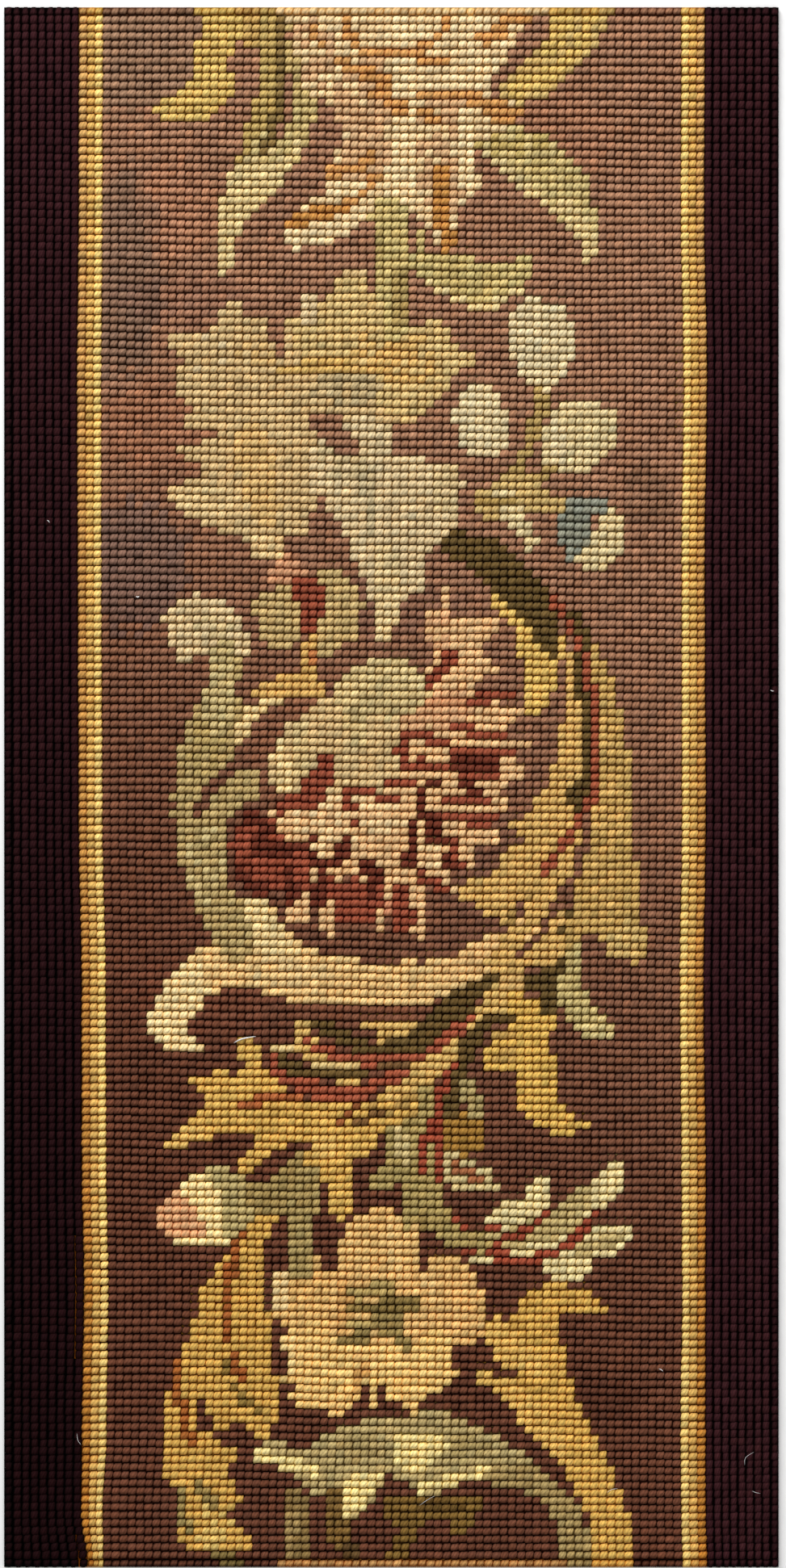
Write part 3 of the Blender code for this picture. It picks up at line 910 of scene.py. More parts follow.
SAGE = (180, 156, 103)
SAGE_LIGHT = (196, 176, 123)
left_scroll = Motif()
left_scroll.fill((
    (19.2, 76), (22, 72.8), (26.6, 73.4), (29.4, 76.4), (29, 80.4), (26, 79.6), (21.4, 80.6),
), (214, 190, 144))
left_scroll.blob((25.4, 76.6), (2.6, 2), (204, 182, 134), on_it=True, share=0.6)
left_scroll.fill((
    (25.2, 79.6), (28.4, 80), (28.2, 84.6), (29.6, 88.6), (28, 92.6), (30.6, 94.8), (30.6, 97.6), (28, 99.4),
    (27, 104), (27.6, 109), (29.8, 113), (29.4, 118), (26, 116.4), (22.8, 110), (20.8, 103), (20.6, 94),
    (22.4, 88), (24.6, 84),
), SAGE)
left_scroll.stroke(((26.6, 80), (26.2, 84), (25.4, 88)), (3.4, 3.6, 4.0), SAGE_LIGHT, on_it=True)
left_scroll.stroke(((28.4, 91), (30.4, 87.4), (33.2, 86.2)), (1.6, 2.2, 1.4), (222, 196, 140))
left_scroll.blob((24, 92), (2.6, 4), (176, 152, 96), on_it=True, share=0.6)
left_scroll.blob((24.6, 106), (2.6, 5), SAGE_LIGHT, on_it=True, share=0.4)
left_scroll.stroke((
    (33, 87.6), (31, 90), (28.6, 92.8), (26, 95.6), (24.2, 98), (23.6, 99.6),
), (2.2, 2.2, 1.7, 1.5, 1.5, 1.0), np.nan)
left_scroll.work("left_scroll", 67)

# The right acanthus
# A tall yellow acanthus leaf behind the gold line's side. A dark olive scroll falls into it from above and
# runs down its middle with a thin brick-red vein beside it.

ACANTHUS = (210, 172, 102)
ACANTHUS_GREEN = (194, 160, 94)
DARK_OLIVE = (104, 82, 46)
right_acanthus = Motif()
right_acanthus.stroke((
    (60.2, 73.6), (62.4, 76), (64, 79), (65.3, 82.4), (64.4, 85.6),
), (2.2, 1.9, 3.2, 4.0, 3.6), (216, 182, 102))
right_acanthus.stroke(((67.6, 78.4), (67.6, 79.8)), 1.4, (214, 178, 102))
right_acanthus.stroke((
    (68.8, 80), (69.2, 86), (68.8, 91), (67.8, 96), (66.4, 99),
), (1.4, 1.9, 3.0, 3.6, 4.0), ACANTHUS)
right_acanthus.fill((
    (67.4, 93), (70.4, 95), (70.4, 101), (69, 106.4), (67.2, 111), (67.4, 118), (58.6, 119), (60.6, 114),
    (55, 109.4), (59.6, 107), (60.6, 104.4), (63, 103.6), (61.4, 101.4), (64.4, 99), (66.2, 95),
), ACANTHUS)
right_acanthus.fill((
    (71.4, 79.8), (72.6, 80.8), (74.2, 85), (76.2, 94), (76.6, 105), (77.8, 117.4), (74, 117.4), (71, 114.6),
    (68.4, 116), (69.4, 108), (71.4, 101),
), ACANTHUS_GREEN)
right_acanthus.blob((72.8, 100), (2, 14), ACANTHUS, on_it=True, share=0.55)
right_acanthus.blob((75.4, 115.6), (2.2, 2.6), (202, 172, 108), on_it=True)
right_acanthus.blob((62.4, 112.6), (1.4, 1), (168, 136, 78), on_it=True)
right_acanthus.stroke((
    (70.4, 105.6), (69.2, 107.6), (68, 109.6), (67, 111.6), (65.6, 113.4), (64.2, 115.4), (62.4, 117.4),
), (0.9, 1.2, 1.2, 1.2, 1.2, 1.2, 1.0), np.nan)
right_acanthus.stroke(((62.6, 111.6), (63, 113.4)), 1.2, np.nan)
right_acanthus.stroke((
    (54.6, 66.4), (58.6, 68), (61.6, 70.8), (64.4, 74), (65.8, 77.6), (66.6, 80.2),
), (3.0, 4.6, 4.8, 4.2, 2.8, 1.3), DARK_OLIVE)
right_acanthus.stroke(((67.8, 74.4), (69.8, 76.6), (70.4, 78.8)), (1.2, 1.8, 1.2), DARK_OLIVE)
right_acanthus.stroke(((69.5, 79.6), (70.1, 84), (70.6, 88), (70.6, 96)), (1.3, 1.5, 1.4, 1.5), DARK_OLIVE)
right_acanthus.blob((69.6, 97.8), (1.5, 1.7), DARK_OLIVE)
right_acanthus.stroke((
    (66.6, 73), (67.5, 74.6), (68.7, 76.6), (69.5, 78.6), (70.6, 80.8), (71, 83.6), (71.8, 86.4), (71.8, 93),
    (71.5, 97.4), (70.4, 99.4), (68.6, 102.4), (66.6, 105.6), (65.2, 107.4),
), 1.15, (160, 86, 60))
right_acanthus.work("right_acanthus", 68)

# The crescent
# A pale peach crescent across the panel under the tulip, curled up to the left in cream.

crescent = Motif()
crescent.fill((
    (29.6, 110), (31.4, 109.4), (34, 113.6), (38, 116.8), (44, 118), (52, 118), (56, 116.6), (60.4, 114.2),
    (63.6, 113.2), (63.2, 115.4), (61, 118.2), (57.4, 120.4), (54, 121.8), (50.6, 123.4), (36, 123),
    (29.4, 121.2), (25.6, 122), (22.4, 125.8), (24.6, 129), (20.6, 129.4), (17.6, 126), (18.6, 122),
    (22.6, 116.8), (28, 114.6),
), (226, 192, 131))
crescent.blob((20.6, 124), (4.6, 7), (234, 210, 155), on_it=True)
crescent.stroke(((30.6, 110), (31.4, 114), (35, 118)), (2.4, 4, 3), (228, 204, 148), on_it=True)
crescent.blob((34, 119.4), (6, 2), (216, 188, 134), on_it=True, share=0.5)
crescent.blob((46, 121), (9, 1.6), (220, 184, 122), on_it=True, share=0.6)
crescent.stroke((
    (54, 119), (58.4, 117.2), (61.4, 115.4), (63.8, 113.4), (65.6, 111.6),
), (3.0, 2.8, 2.8, 2.4, 1.4), (222, 184, 124))
crescent.work("crescent", 69)

# The ribbons under the crescent
# Two dark olive ribbons swing from the right to the left with brick-red lines under them, and loops of
# yellow between. A third dark one drops down the stems.

RIBBON_YELLOW = (212, 176, 104)
RED_LINE = (166, 88, 62)
ribbons = Motif()
ribbons.stroke((
    (61.6, 121.4), (59, 124), (56.4, 126.6), (52.6, 130.4), (47.6, 133.6),
), (4.0, 3.0, 2.4, 3.2, 3.4), RIBBON_YELLOW)
ribbons.fill(((43.4, 125.4), (51.8, 125.4), (50, 127.8), (46.8, 128.4), (44.8, 127)), RIBBON_YELLOW)
ribbons.fill((
    (34.6, 125.2), (37.4, 125.4), (37.6, 127.6), (41, 129.4), (38.4, 130.4), (35.4, 129), (35.4, 127),
), RIBBON_YELLOW)
ribbons.stroke(((37.4, 131), (44, 131.1)), 1.1, (214, 186, 124))
ribbons.stroke(((32.4, 129), (34.4, 129.2)), 1.0, (222, 196, 136))
ribbons.stroke((
    (37, 128.2), (41, 129.9), (46, 130.4), (50.4, 129.6), (54, 127.4), (57, 125),
), (1.0, 1.3, 1.4, 1.4, 1.4, 1.2), RED_LINE)
ribbons.stroke((
    (32.2, 130.2), (35, 132.8), (38.6, 134.2), (43, 134.2), (46, 132.8), (49, 131.6),
), (1.2, 1.8, 2.2, 1.9, 1.6, 1.4), RED_LINE)
ribbons.stroke(((41, 133.2), (43, 133.2)), 0.8, RIBBON_YELLOW)
ribbons.stroke((
    (69.4, 112.6), (68.7, 115), (67.6, 117.4), (66.4, 119.6), (66, 121.4), (66.1, 123.6),
), (2.8, 3.4, 3.0, 3.0, 3.0, 2.0), DARK_OLIVE)
ribbons.stroke(((63.2, 120.9), (66, 120.9)), 1.7, DARK_OLIVE)
ribbons.stroke((
    (59.6, 119.7), (57, 121.4), (55.4, 123.2), (53.4, 125), (51.6, 126.8), (49.2, 128.5), (44, 128.7),
    (40.4, 127.2), (38, 125.8),
), (1.5, 2.4, 3.2, 3.0, 3.0, 2.0, 1.4, 1.8, 1.5), DARK_OLIVE)
ribbons.stroke(((33.6, 130.6), (38, 132), (44, 132)), (1.8, 1.3, 1.2), DARK_OLIVE)
ribbons.stroke(((45.4, 131.4), (48.6, 130.8)), 1.2, (116, 84, 52))
ribbons.stroke(((57.8, 126), (59.6, 125.4), (62.6, 124.8)), 1.1, DARK_OLIVE)
ribbons.stroke((
    (58, 126.2), (56.6, 128.2), (55.8, 131), (54.6, 134), (54.4, 136.6),
), (1.4, 2.2, 1.4, 1.6, 1.9), DARK_OLIVE)
ribbons.fill((
    (61.4, 122), (64.6, 122.6), (65.4, 124.2), (67.1, 125.2), (66.3, 127), (66.3, 129.6), (67.2, 130.6),
    (67.2, 134.2), (68.1, 136), (69.6, 137.5), (71.3, 138), (69, 139.3), (65.8, 139), (63.6, 137.4),
    (62.2, 135), (62.2, 131.6), (60.6, 132.1), (58.2, 131.4), (58.5, 129.2), (59.8, 126.8), (61.6, 125.6),
), (214, 175, 90))
ribbons.blob((61, 128.4), (2.6, 2.4), (198, 160, 88), on_it=True, share=0.6)
ribbons.fill((
    (68.8, 117), (70.4, 115), (70.4, 119.6), (70.8, 122.6), (72.4, 124.6), (74.3, 126.2), (73.4, 127.6),
    (69.6, 127.2), (67.9, 124.4), (67.1, 121.4), (67.6, 119.4),
), (192, 172, 114))
ribbons.blob((72.4, 126.4), (2.2, 1.2), (214, 194, 134), on_it=True)
ribbons.fill((
    (61, 119.4), (63, 117), (65.4, 115), (66.6, 112.6), (68, 112), (67.2, 115), (65.6, 117.6),
    (63.4, 119.4), (62.6, 121.6), (60.4, 121.4),
), (208, 171, 106))
ribbons.work("ribbons", 70)

# The lower acanthus
# A golden acanthus leaf that spreads to the left in pointed fingers under the ribbons, with fine red veins.

GOLD_LEAF = (214, 174, 92)
lower_acanthus = Motif()
lower_acanthus.fill((
    (30.4, 127.4), (31.6, 131), (35.6, 134.6), (44, 135), (50, 132.6), (50, 136.8), (46.4, 139),
    (44.4, 141.6), (42.6, 143.4), (41.8, 149.4), (39.8, 149), (38.4, 144.4), (36.4, 142.8), (37.2, 140.4),
    (33.6, 141.2), (30.2, 143.8), (28.2, 143.4), (30.4, 140.2), (28.6, 138.8), (25.4, 139.8), (19.4, 141.4),
    (22.6, 137.4), (24.6, 135.6), (22.4, 132.2), (29, 131.6), (28.2, 128.4),
), GOLD_LEAF)
lower_acanthus.blob((47.6, 135.4), (3, 2.6), (178, 144, 80), on_it=True, share=0.6)
lower_acanthus.blob((22, 140), (3, 2), (222, 184, 104), on_it=True)
lower_acanthus.blob((38.6, 141), (1.6, 2), (222, 184, 104), on_it=True)
lower_acanthus.stroke(((28.4, 136.2), (31.4, 135.2), (36, 134.9)), 1.1, (172, 100, 58), on_it=True)
lower_acanthus.stroke(((41, 138), (42.6, 136.2)), 1.0, (150, 90, 52), on_it=True)
lower_acanthus.stroke(((42.6, 137.6), (45.4, 137.2)), 1.0, (128, 92, 54), on_it=True)
lower_acanthus.work("lower_acanthus", 71)

# The stems and the right leaf
# Sage and red stems run down from the ribbons. They turn to the right into a pale leaf with cream points
# and two red veins.

STEM_SAGE = (170, 149, 92)
STEM_RED = (154, 74, 52)
LEAF_POINT = (232, 214, 158)
LEAF_SAGE = (190, 168, 112)
stems = Motif()
stems.stroke(((55.4, 132.4), (56.8, 135.4), (57, 138.4)), (1.6, 2.0, 1.4), (172, 152, 100))
stems.stroke(((50.4, 132), (49.8, 138), (49.2, 144), (49, 150.4)), (4.4, 4.8, 3.0, 1.9), STEM_SAGE)
stems.stroke(((47.6, 138.6), (47.2, 143), (45.6, 145.4)), (2.0, 2.4, 2.6), STEM_SAGE)
stems.stroke(((48, 139), (48.6, 143)), 1.4, (198, 178, 124), on_it=True)
stems.stroke(((51.4, 142.6), (51.5, 150.4)), 1.9, (150, 126, 74))
stems.fill((
    (52.6, 145), (54.4, 149.6), (58, 151.2), (59.6, 148.2), (62.8, 147.6), (65.2, 143.8), (66.6, 148.4),
    (68.8, 146.4), (71.6, 145.4), (74.4, 142), (75, 146), (71.6, 150.4), (76.6, 151), (75, 154),
    (71.4, 154.8), (70.6, 157.4), (65.6, 157.2), (64.2, 155.6), (57, 155), (53.4, 151.6),
), (222, 204, 150))
stems.stroke((
    (53.8, 149), (57.4, 152.6), (62, 152.2), (68, 150), (70.4, 146.6),
), (1.4, 2.2, 2.6, 3.4, 2.4), LEAF_SAGE, on_it=True)
stems.stroke(((70, 153.6), (74.6, 152.6)), (1.8, 1.2), LEAF_SAGE, on_it=True)
stems.blob((63.6, 147.4), (1.6, 2.4), LEAF_POINT, on_it=True)
stems.blob((74, 145), (1.6, 3), LEAF_POINT, on_it=True)
stems.stroke(((59.4, 152.8), (62, 152.2), (65.6, 149.6)), 1.1, STEM_RED, on_it=True)
stems.stroke((
    (55.4, 154), (60, 154.5), (63.4, 155), (66.6, 154), (68.4, 153), (70.2, 151.6), (72.4, 149.2),
), (1.1, 1.2, 1.3, 1.2, 1.1, 1.0, 1.0), STEM_RED, on_it=True)
stems.fill((
    (53.4, 141.8), (56, 142.4), (58.8, 144), (60, 146.2), (55.6, 146.8), (53, 144.6),
), (206, 186, 132))
stems.stroke(((55, 143.6), (57.6, 145.2)), 1.3, (170, 108, 70))
stems.fill(((53.6, 137), (56.8, 137.2), (58.8, 139.8), (57, 142), (53.6, 141.4)), (160, 120, 56))
stems.stroke(((51.2, 139), (51.6, 146), (53.4, 151), (58, 153)), (3.2, 3.2, 3.0, 2.4), (174, 152, 94))
stems.stroke((
    (56, 126.4), (55, 129.8), (53.8, 132.4), (52.8, 135.4), (52.4, 139.6),
), (1.0, 1.0, 1.1, 1.3, 2.1), STEM_RED, on_it=True)
stems.stroke(((51.2, 139.6), (50.9, 144)), 1.1, STEM_RED, on_it=True)
stems.stroke((
    (53, 139.6), (53.2, 145), (54.6, 149), (57, 151), (59.2, 151),
), (1.2, 1.1, 1.2, 1.5, 1.4), STEM_RED, on_it=True)
stems.stroke(((56, 126.4), (54.4, 131), (53, 134.6), (52.5, 139)), (0.9, 1.0, 1.2, 1.6), STEM_RED)
stems.work("stems_and_leaf", 72)

# The pink bud
# A round bud on the left, pink on one side, cream in the middle and sage on the other, on an olive stalk.

pink_bud = Motif()
pink_bud.fill((
    (22.4, 145), (25.4, 143.4), (29, 145), (30.6, 148.4), (28.6, 152), (24.4, 153.4), (20.4, 152.6),
    (18.6, 149),
), (244, 220, 158))
pink_bud.fill((
    (24.6, 143), (29.4, 144), (31, 149), (28, 152.6), (26, 151.2), (27, 147.4), (24.6, 145.6),
), (188, 168, 112), on_it=True)
pink_bud.fill((
    (18, 147.4), (21.4, 146.8), (23.6, 149.4), (24.2, 151.6), (19.6, 151.8),
), (222, 170, 122), on_it=True)
pink_bud.stroke(((36.6, 143.2), (34, 146.6), (30.8, 147.2)), (3.4, 5.0, 3.4), (164, 140, 86))
pink_bud.stroke(((37, 144), (36.2, 149), (35.8, 156)), (3.0, 3.4, 3.0), (168, 146, 92))
pink_bud.work("pink_bud", 73)

# The open flower
# Five peach petals with uneven edges round a green eye.

PEACH = (216, 176, 110)
PEACH_LIGHT = (230, 194, 122)
flower = Motif()
for centre, radii, wool in (
    ((45.7, 154), (4.9, 5), (222, 184, 118)), ((37.6, 160), (5, 4.7), (218, 178, 110)),
    ((52.8, 160.8), (5.6, 5.6), (221, 180, 114)), ((39.4, 168), (5.6, 5.8), PEACH_LIGHT),
    ((49.4, 167.6), (5.4, 5.4), (231, 196, 122)), ((45.4, 161), (6.5, 6.5), (222, 182, 116)),
):
    flower.blob(centre, radii, wool)
flower.blob((44.6, 168.6), (9, 3.6), (240, 205, 130), on_it=True, share=0.7)
for points, wide, wool in (
    (((45.4, 150.4), (46.4, 149.2)), 1.6, PEACH), (((35.4, 156), (38, 155.6)), 1.6, PEACH),
    (((53, 155.8), (54.6, 155.6)), 1.8, PEACH), (((57.8, 160), (58.2, 161.6)), 1.4, PEACH),
    (((36, 172.4), (36.2, 173)), 1.8, PEACH_LIGHT), (((39.6, 173.4), (40.4, 174)), 2.0, (226, 188, 118)),
    (((44.6, 171.4), (45, 172.6)), 1.4, PEACH_LIGHT), (((49.2, 172.4), (49.6, 173.4)), 1.8, PEACH_LIGHT),
    (((33.4, 157), (33.3, 161)), 1.5, (232, 204, 146)), (((34.6, 165), (34.8, 168.4)), 1.6, (234, 204, 138)),
    (((41.6, 158), (41.2, 164)), 1.4, (206, 162, 98)), (((43.6, 168), (43, 170.6)), 1.2, (216, 168, 98)),
    (((51, 157), (52.4, 160)), 1.4, (226, 190, 126)), (((47, 151.6), (47.4, 156)), 1.6, (226, 192, 128)),
):
    flower.stroke(points, wide, wool)
for points, wide, wool in (
    (((42.8, 159), (46.6, 158.8)), 1.9, (180, 156, 96)),
    (((42.6, 161), (46, 160.8), (50.2, 160.4)), 1.5, (138, 116, 66)),
    (((44.8, 162.6), (47.4, 162.6)), 1.6, (152, 129, 77)),
    (((42, 162.8), (43.6, 162.8)), 1.2, (190, 165, 102)),
    (((41.4, 165), (43.6, 164.4)), 1.6, (146, 124, 74)),
    (((46, 164), (48.4, 164.6), (48.8, 165.6)), 1.5, (150, 128, 76)),
):
    flower.stroke(points, wide, wool)
flower.work("open_flower", 74)

# The left acanthus at the foot
# A yellow acanthus leaf that hangs in three turns down the left side, with thin red veins and green flecks.

FOOT_VEIN = (160, 92, 46)
FOOT_FLECK = (140, 112, 56)
foot_acanthus = Motif()
foot_acanthus.fill((
    (28.8, 148.8), (32.8, 149), (31.6, 154), (31.8, 160), (32.6, 167), (33.4, 173), (31.8, 177.4),
    (29, 175.6), (25.6, 175.8), (24.4, 171.4), (23.6, 175.6), (28.8, 179), (27, 181), (28.8, 185),
    (26.8, 186.2), (30.2, 190.6), (24.6, 191.2), (21.4, 190), (21.4, 185), (19.2, 180.6), (19.6, 172),
    (22, 165), (24, 159), (27.2, 153.4),
), (210, 168, 86))
foot_acanthus.blob((25, 188), (2.6, 3), (214, 182, 104), on_it=True, share=0.6)
foot_acanthus.stroke(((28.8, 151), (27.3, 157.6), (26.7, 164.6)), 1.2, FOOT_VEIN, on_it=True)
foot_acanthus.stroke(((27.8, 166.4), (28.8, 170)), 1.1, FOOT_VEIN, on_it=True)
foot_acanthus.stroke(((21, 168), (21.4, 173), (22.8, 178)), 1.1, (168, 100, 48), on_it=True)
foot_acanthus.stroke(((26.6, 167.4), (27, 169)), 1.1, FOOT_FLECK, on_it=True)
foot_acanthus.stroke(((28, 170.6), (29.4, 173)), 1.3, FOOT_FLECK, on_it=True)
foot_acanthus.stroke(((30.4, 173.8), (31.4, 174.2)), 1.0, FOOT_FLECK, on_it=True)
foot_acanthus.stroke(((21.2, 183.4), (21.3, 186), (22.6, 189)), (1.0, 1.2, 1.0), (160, 138, 82))
foot_acanthus.stroke(((23.4, 183), (25.6, 185)), 1.2, (152, 128, 74), on_it=True)
foot_acanthus.stroke(((26, 191.6), (28.6, 192.6)), 1.6, (128, 108, 62))
foot_acanthus.work("foot_acanthus", 75)

# The green leaf at the foot
# A broad drooping leaf in sage with cream patches, on a stem that falls to the right. Olive leaves show
# below it, and the very last row is gold.

FOOT_CREAM = (240, 219, 150)
FOOT_OLIVE = (128, 98, 48)
foot_leaf = Motif()
foot_leaf.fill((
    (30.2, 179), (33, 177.4), (36.2, 178.6), (40, 176.2), (47, 174.2), (54, 174), (59.4, 176.8),
    (64.6, 180.2), (58.6, 181.4), (52, 184.2), (48.6, 182.8), (46.4, 180.8), (45.4, 183.6), (42, 187),
    (38.2, 184.4), (34.6, 181.6),
), (184, 163, 110))
foot_leaf.fill((
    (47.2, 177.4), (50.4, 176.6), (54, 177.4), (53, 179.6), (49.4, 181.4), (47.4, 180.4),
), FOOT_CREAM, on_it=True)
foot_leaf.stroke(((31, 179.2), (34, 180.3), (37.8, 181.2)), (1.6, 1.9, 1.4), FOOT_CREAM, on_it=True)
foot_leaf.fill((
    (38.4, 182), (40, 183.4), (42.4, 181.8), (45.6, 181.4), (44.6, 184), (42.4, 186.6), (40.8, 186.4),
    (39.4, 184.6),
), FOOT_CREAM, on_it=True)
foot_leaf.stroke(((50.2, 183.3), (53, 182.6), (56.7, 181.9), (59.5, 180.8)), 1.3, FOOT_CREAM, on_it=True)
foot_leaf.blob((42.6, 178.4), (2.4, 2.4), (172, 150, 98), on_it=True, share=0.7)
foot_leaf.blob((56.6, 178.4), (2.6, 2), (174, 152, 98), on_it=True, share=0.7)
foot_leaf.stroke((
    (59.4, 181.8), (63.4, 182), (67.4, 185), (69.2, 189), (69.8, 194),
), (2.2, 3.0, 3.2, 3.6, 4.2), (168, 144, 92))
foot_leaf.stroke(((35.4, 185), (35.4, 194)), (3.4, 3.2), (140, 114, 68))
foot_leaf.stroke(((35, 187), (34.6, 193)), 1.4, (162, 136, 86), on_it=True)
foot_leaf.stroke(((40.2, 184.6), (40.6, 189.4)), 2.3, (128, 98, 52))
foot_leaf.stroke(((42, 190.6), (42.4, 192.4)), 2.0, (96, 72, 42))
foot_leaf.fill((
    (46.2, 184.6), (57.2, 184.4), (57, 187.6), (54.8, 188.8), (52.6, 186.8), (50.2, 188.6), (49, 192.4),
    (46.2, 192.4), (47.6, 188.4),
), FOOT_OLIVE)
foot_leaf.blob((53, 185.4), (3, 0.8), (104, 78, 38), on_it=True)
foot_leaf.stroke(((33.6, 192.8), (68, 192.7)), 0.9, (196, 150, 92))
foot_leaf.work("foot_leaf", 76)

# The right scroll at the foot
# A broad yellow scroll that drops down the right side from a curled tip, with two points on its left.

foot_scroll = Motif()
foot_scroll.stroke((
    (72.2, 160.8), (68, 159.8), (64.8, 161.8), (65, 167), (67, 173.6), (70.2, 180), (73.2, 186), (74, 194),
), (1.8, 3.4, 5.4, 6.0, 5.6, 5.2, 4.8, 4.6), (214, 172, 88))
foot_scroll.stroke(((59.6, 162.6), (60.8, 165.6), (64, 168)), (1.6, 3.8, 3.0), (222, 182, 100))
foot_scroll.stroke((
    (58.2, 169.6), (61.4, 171.4), (65, 175.4), (68, 180),
), (1.4, 2.8, 3.0, 2.0), (220, 180, 98))
foot_scroll.work("foot_scroll", 77)

# The ground
# When the flowers are worked, the needleworker fills the ground round them in brown wool. No two skeins were
# dyed quite alike, and it runs from a rosy brown at the head to a dark one at the foot, partly from the
# skeins and partly as painted shade where the light falls off.

# The brown grows darker towards the foot, partly from the skeins and partly as painted shade, and later on
# the right than on the left, as painted light where it falls best half way down: the rows where the change
# begins and ends, at the left edge of the band and at its right edge.
HEAD_BROWN = np.array((158.0, 116.0, 89.0))
FOOT_BROWN = np.array((104.0, 63.0, 46.0))
CHANGE_BEGINS = (25, 50)
CHANGE_ENDS = (130, 195)
# Odd skeins: the middle and radii of each, in stitches, and how its colour differs.
ODD_SKEINS = (
    ((16, 4), (10, 9), (-8, 0, 2)), ((14, 33), (5, 13), (-20, -10, -4)), ((22, 36), (8, 3), (-6, -6, -3)),
    ((15, 69), (7, 8), (-16, -5, 4)), ((46, 74), (9, 4), (-9, -6, -2)), ((66, 16), (9, 5), (5, 1, 0)),
    ((78, 60), (3, 4), (-14, -10, -8)), ((72, 172), (5, 3), (-12, -9, -7)), ((21, 25), (5, 6), (9, 4, 2)),
    ((20, 52), (8, 6), (5, -1, -3)), ((60, 110), (6, 9), (-5, -3, -1)), ((35, 94), (5, 9), (6, 3, 1)),
    ((24, 122), (9, 5), (7, 3, 2)), ((45, 124), (9, 2), (8, 4, 2)), ((70, 140), (9, 6), (-4, -3, -2)),
)
# How far the edge of an odd skein strays by chance.
SKEIN_WAVER = 0.15
GROUND_WOOL = wool_yarn("ground_wool", crown_highlight=0.34)
ground = in_band & ~worked
# Darker towards the foot, partly the skeins and partly painted shade, and paler for longer on the right as
# painted light.
sideways = np.clip((across - BORDER_COLUMNS - GOLD_COLUMNS) / BAND_COLUMNS, 0, 1)
begins = np.interp(sideways, (0, 1), CHANGE_BEGINS)
ends = np.interp(sideways, (0, 1), CHANGE_ENDS)
darker = smooth((down - begins) / (ends - begins))[:, None]
dye_and_shade = HEAD_BROWN + darker * (FOOT_BROWN - HEAD_BROWN)
for middle, radii, change in ODD_SKEINS:
    apart = np.hypot((across - middle[0]) / radii[0], (down - middle[1]) / radii[1])
    dye_and_shade[apart < 1 + SKEIN_WAVER * RAGGED] += change
stitch_colour[ground] = dye_and_shade[ground]
on_left = across < ALL_COLUMNS / 2
for name, side, seed in (("ground_left", on_left, 31), ("ground_right", ~on_left, 32)):
    piece = work_stitches(name, ground & side, BAND_STITCH, GROUND_WOOL, seed)

# The gold lines
# Three columns of gold wool down each side of the band, palest on the inside and orange on the outside.

# The outer, the middle and the inner column, and the orange that the outer one comes to at the foot.
GOLDS = np.array(((200.0, 158.0, 96.0), (210.0, 168.0, 92.0), (228.0, 197.0, 119.0)))
FOOT_ORANGE = np.array((180.0, 120.0, 48.0))
to_foot = (chart_rows / ROWS)[:, None]
GOLD_WOOL = wool_yarn("gold_wool", crown_highlight=0.12)
for name, outer, inward, seed in (("gold_line_left", BORDER_COLUMNS, 1, 41),
                                  ("gold_line_right", ALL_COLUMNS - BORDER_COLUMNS - 1, -1, 42)):
    line = np.zeros(len(across), bool)
    for step in range(GOLD_COLUMNS):
        column = np.floor(chart_columns) == outer + inward * step
        stitch_colour[column] = GOLDS[step]
        if step == 0:
            stitch_colour[column] += to_foot[column] * (FOOT_ORANGE - GOLDS[step])
        line |= column
    piece = work_stitches(name, line, BAND_STITCH, GOLD_WOOL, seed)

# The dark borders
# Nine columns of wine-black wool down each side. Here the wool stands up in columns, not in rows.

# The left border comes to a deeper black at the foot.
WINE_BLACK = np.array((54.0, 26.0, 29.0))
DEEPER_BLACK = np.array((29.0, 10.0, 12.0))
BORDER_WOOL = wool_yarn("border_wool", crown_highlight=0.16)
for name, side, deepens, seed in (("border_left", on_left, 1, 51), ("border_right", ~on_left, 0, 52)):
    border = ~in_band & ~worked & side
    stitch_colour[border] = WINE_BLACK + deepens * to_foot[border] * (DEEPER_BLACK - WINE_BLACK)
    piece = work_stitches(name, border, BORDER_STITCH, BORDER_WOOL, seed)

# The canvas
# What the stitches are worked on. Between them it takes the colour of the same wools, darkened as painted
# shade in the gaps, and its back carries the long crossings of the wool.

corner_columns, corner_rows = np.meshgrid(np.arange(ALL_COLUMNS + 1.0), np.arange(ROWS + 1.0))
corner_x, corner_y = place(corner_columns.ravel(), corner_rows.ravel())
# The canvas ends just short of the last stitches' straight edge.
SHORT_OF_EDGE = 0.00005
corner_x *= 1 + (EDGE_LINE - SHORT_OF_EDGE) / (WIDTH / 2)
corner_y *= 1 + (EDGE_LINE - SHORT_OF_EDGE) / (LENGTH / 2)
grid_x = corner_x.reshape(ROWS + 1, ALL_COLUMNS + 1)
grid_y = corner_y.reshape(ROWS + 1, ALL_COLUMNS + 1)
# On the back every other crossing of the wool stands in, so that it is knobbly too.
BACK_RELIEF = 0.0003
mesh = bmesh.new()
face_layer, back_layer = [], []
for r in range(ROWS + 1):
    face_layer.append([mesh.verts.new((x, y, CANVAS_TOP)) for x, y in zip(grid_x[r], grid_y[r])])
    back_layer.append([])
    for c in range(ALL_COLUMNS + 1):
        inside = 0 < r < ROWS and 0 < c < ALL_COLUMNS
        height = BACK_RELIEF * ((r + c) % 2) if inside else 0.0
        back_layer[r].append(mesh.verts.new((grid_x[r, c], grid_y[r, c], height)))
for r in range(ROWS):
    for c in range(ALL_COLUMNS):
        for layer in (face_layer, back_layer):
            mesh.faces.new((layer[r + 1][c], layer[r + 1][c + 1], layer[r][c + 1], layer[r][c]))


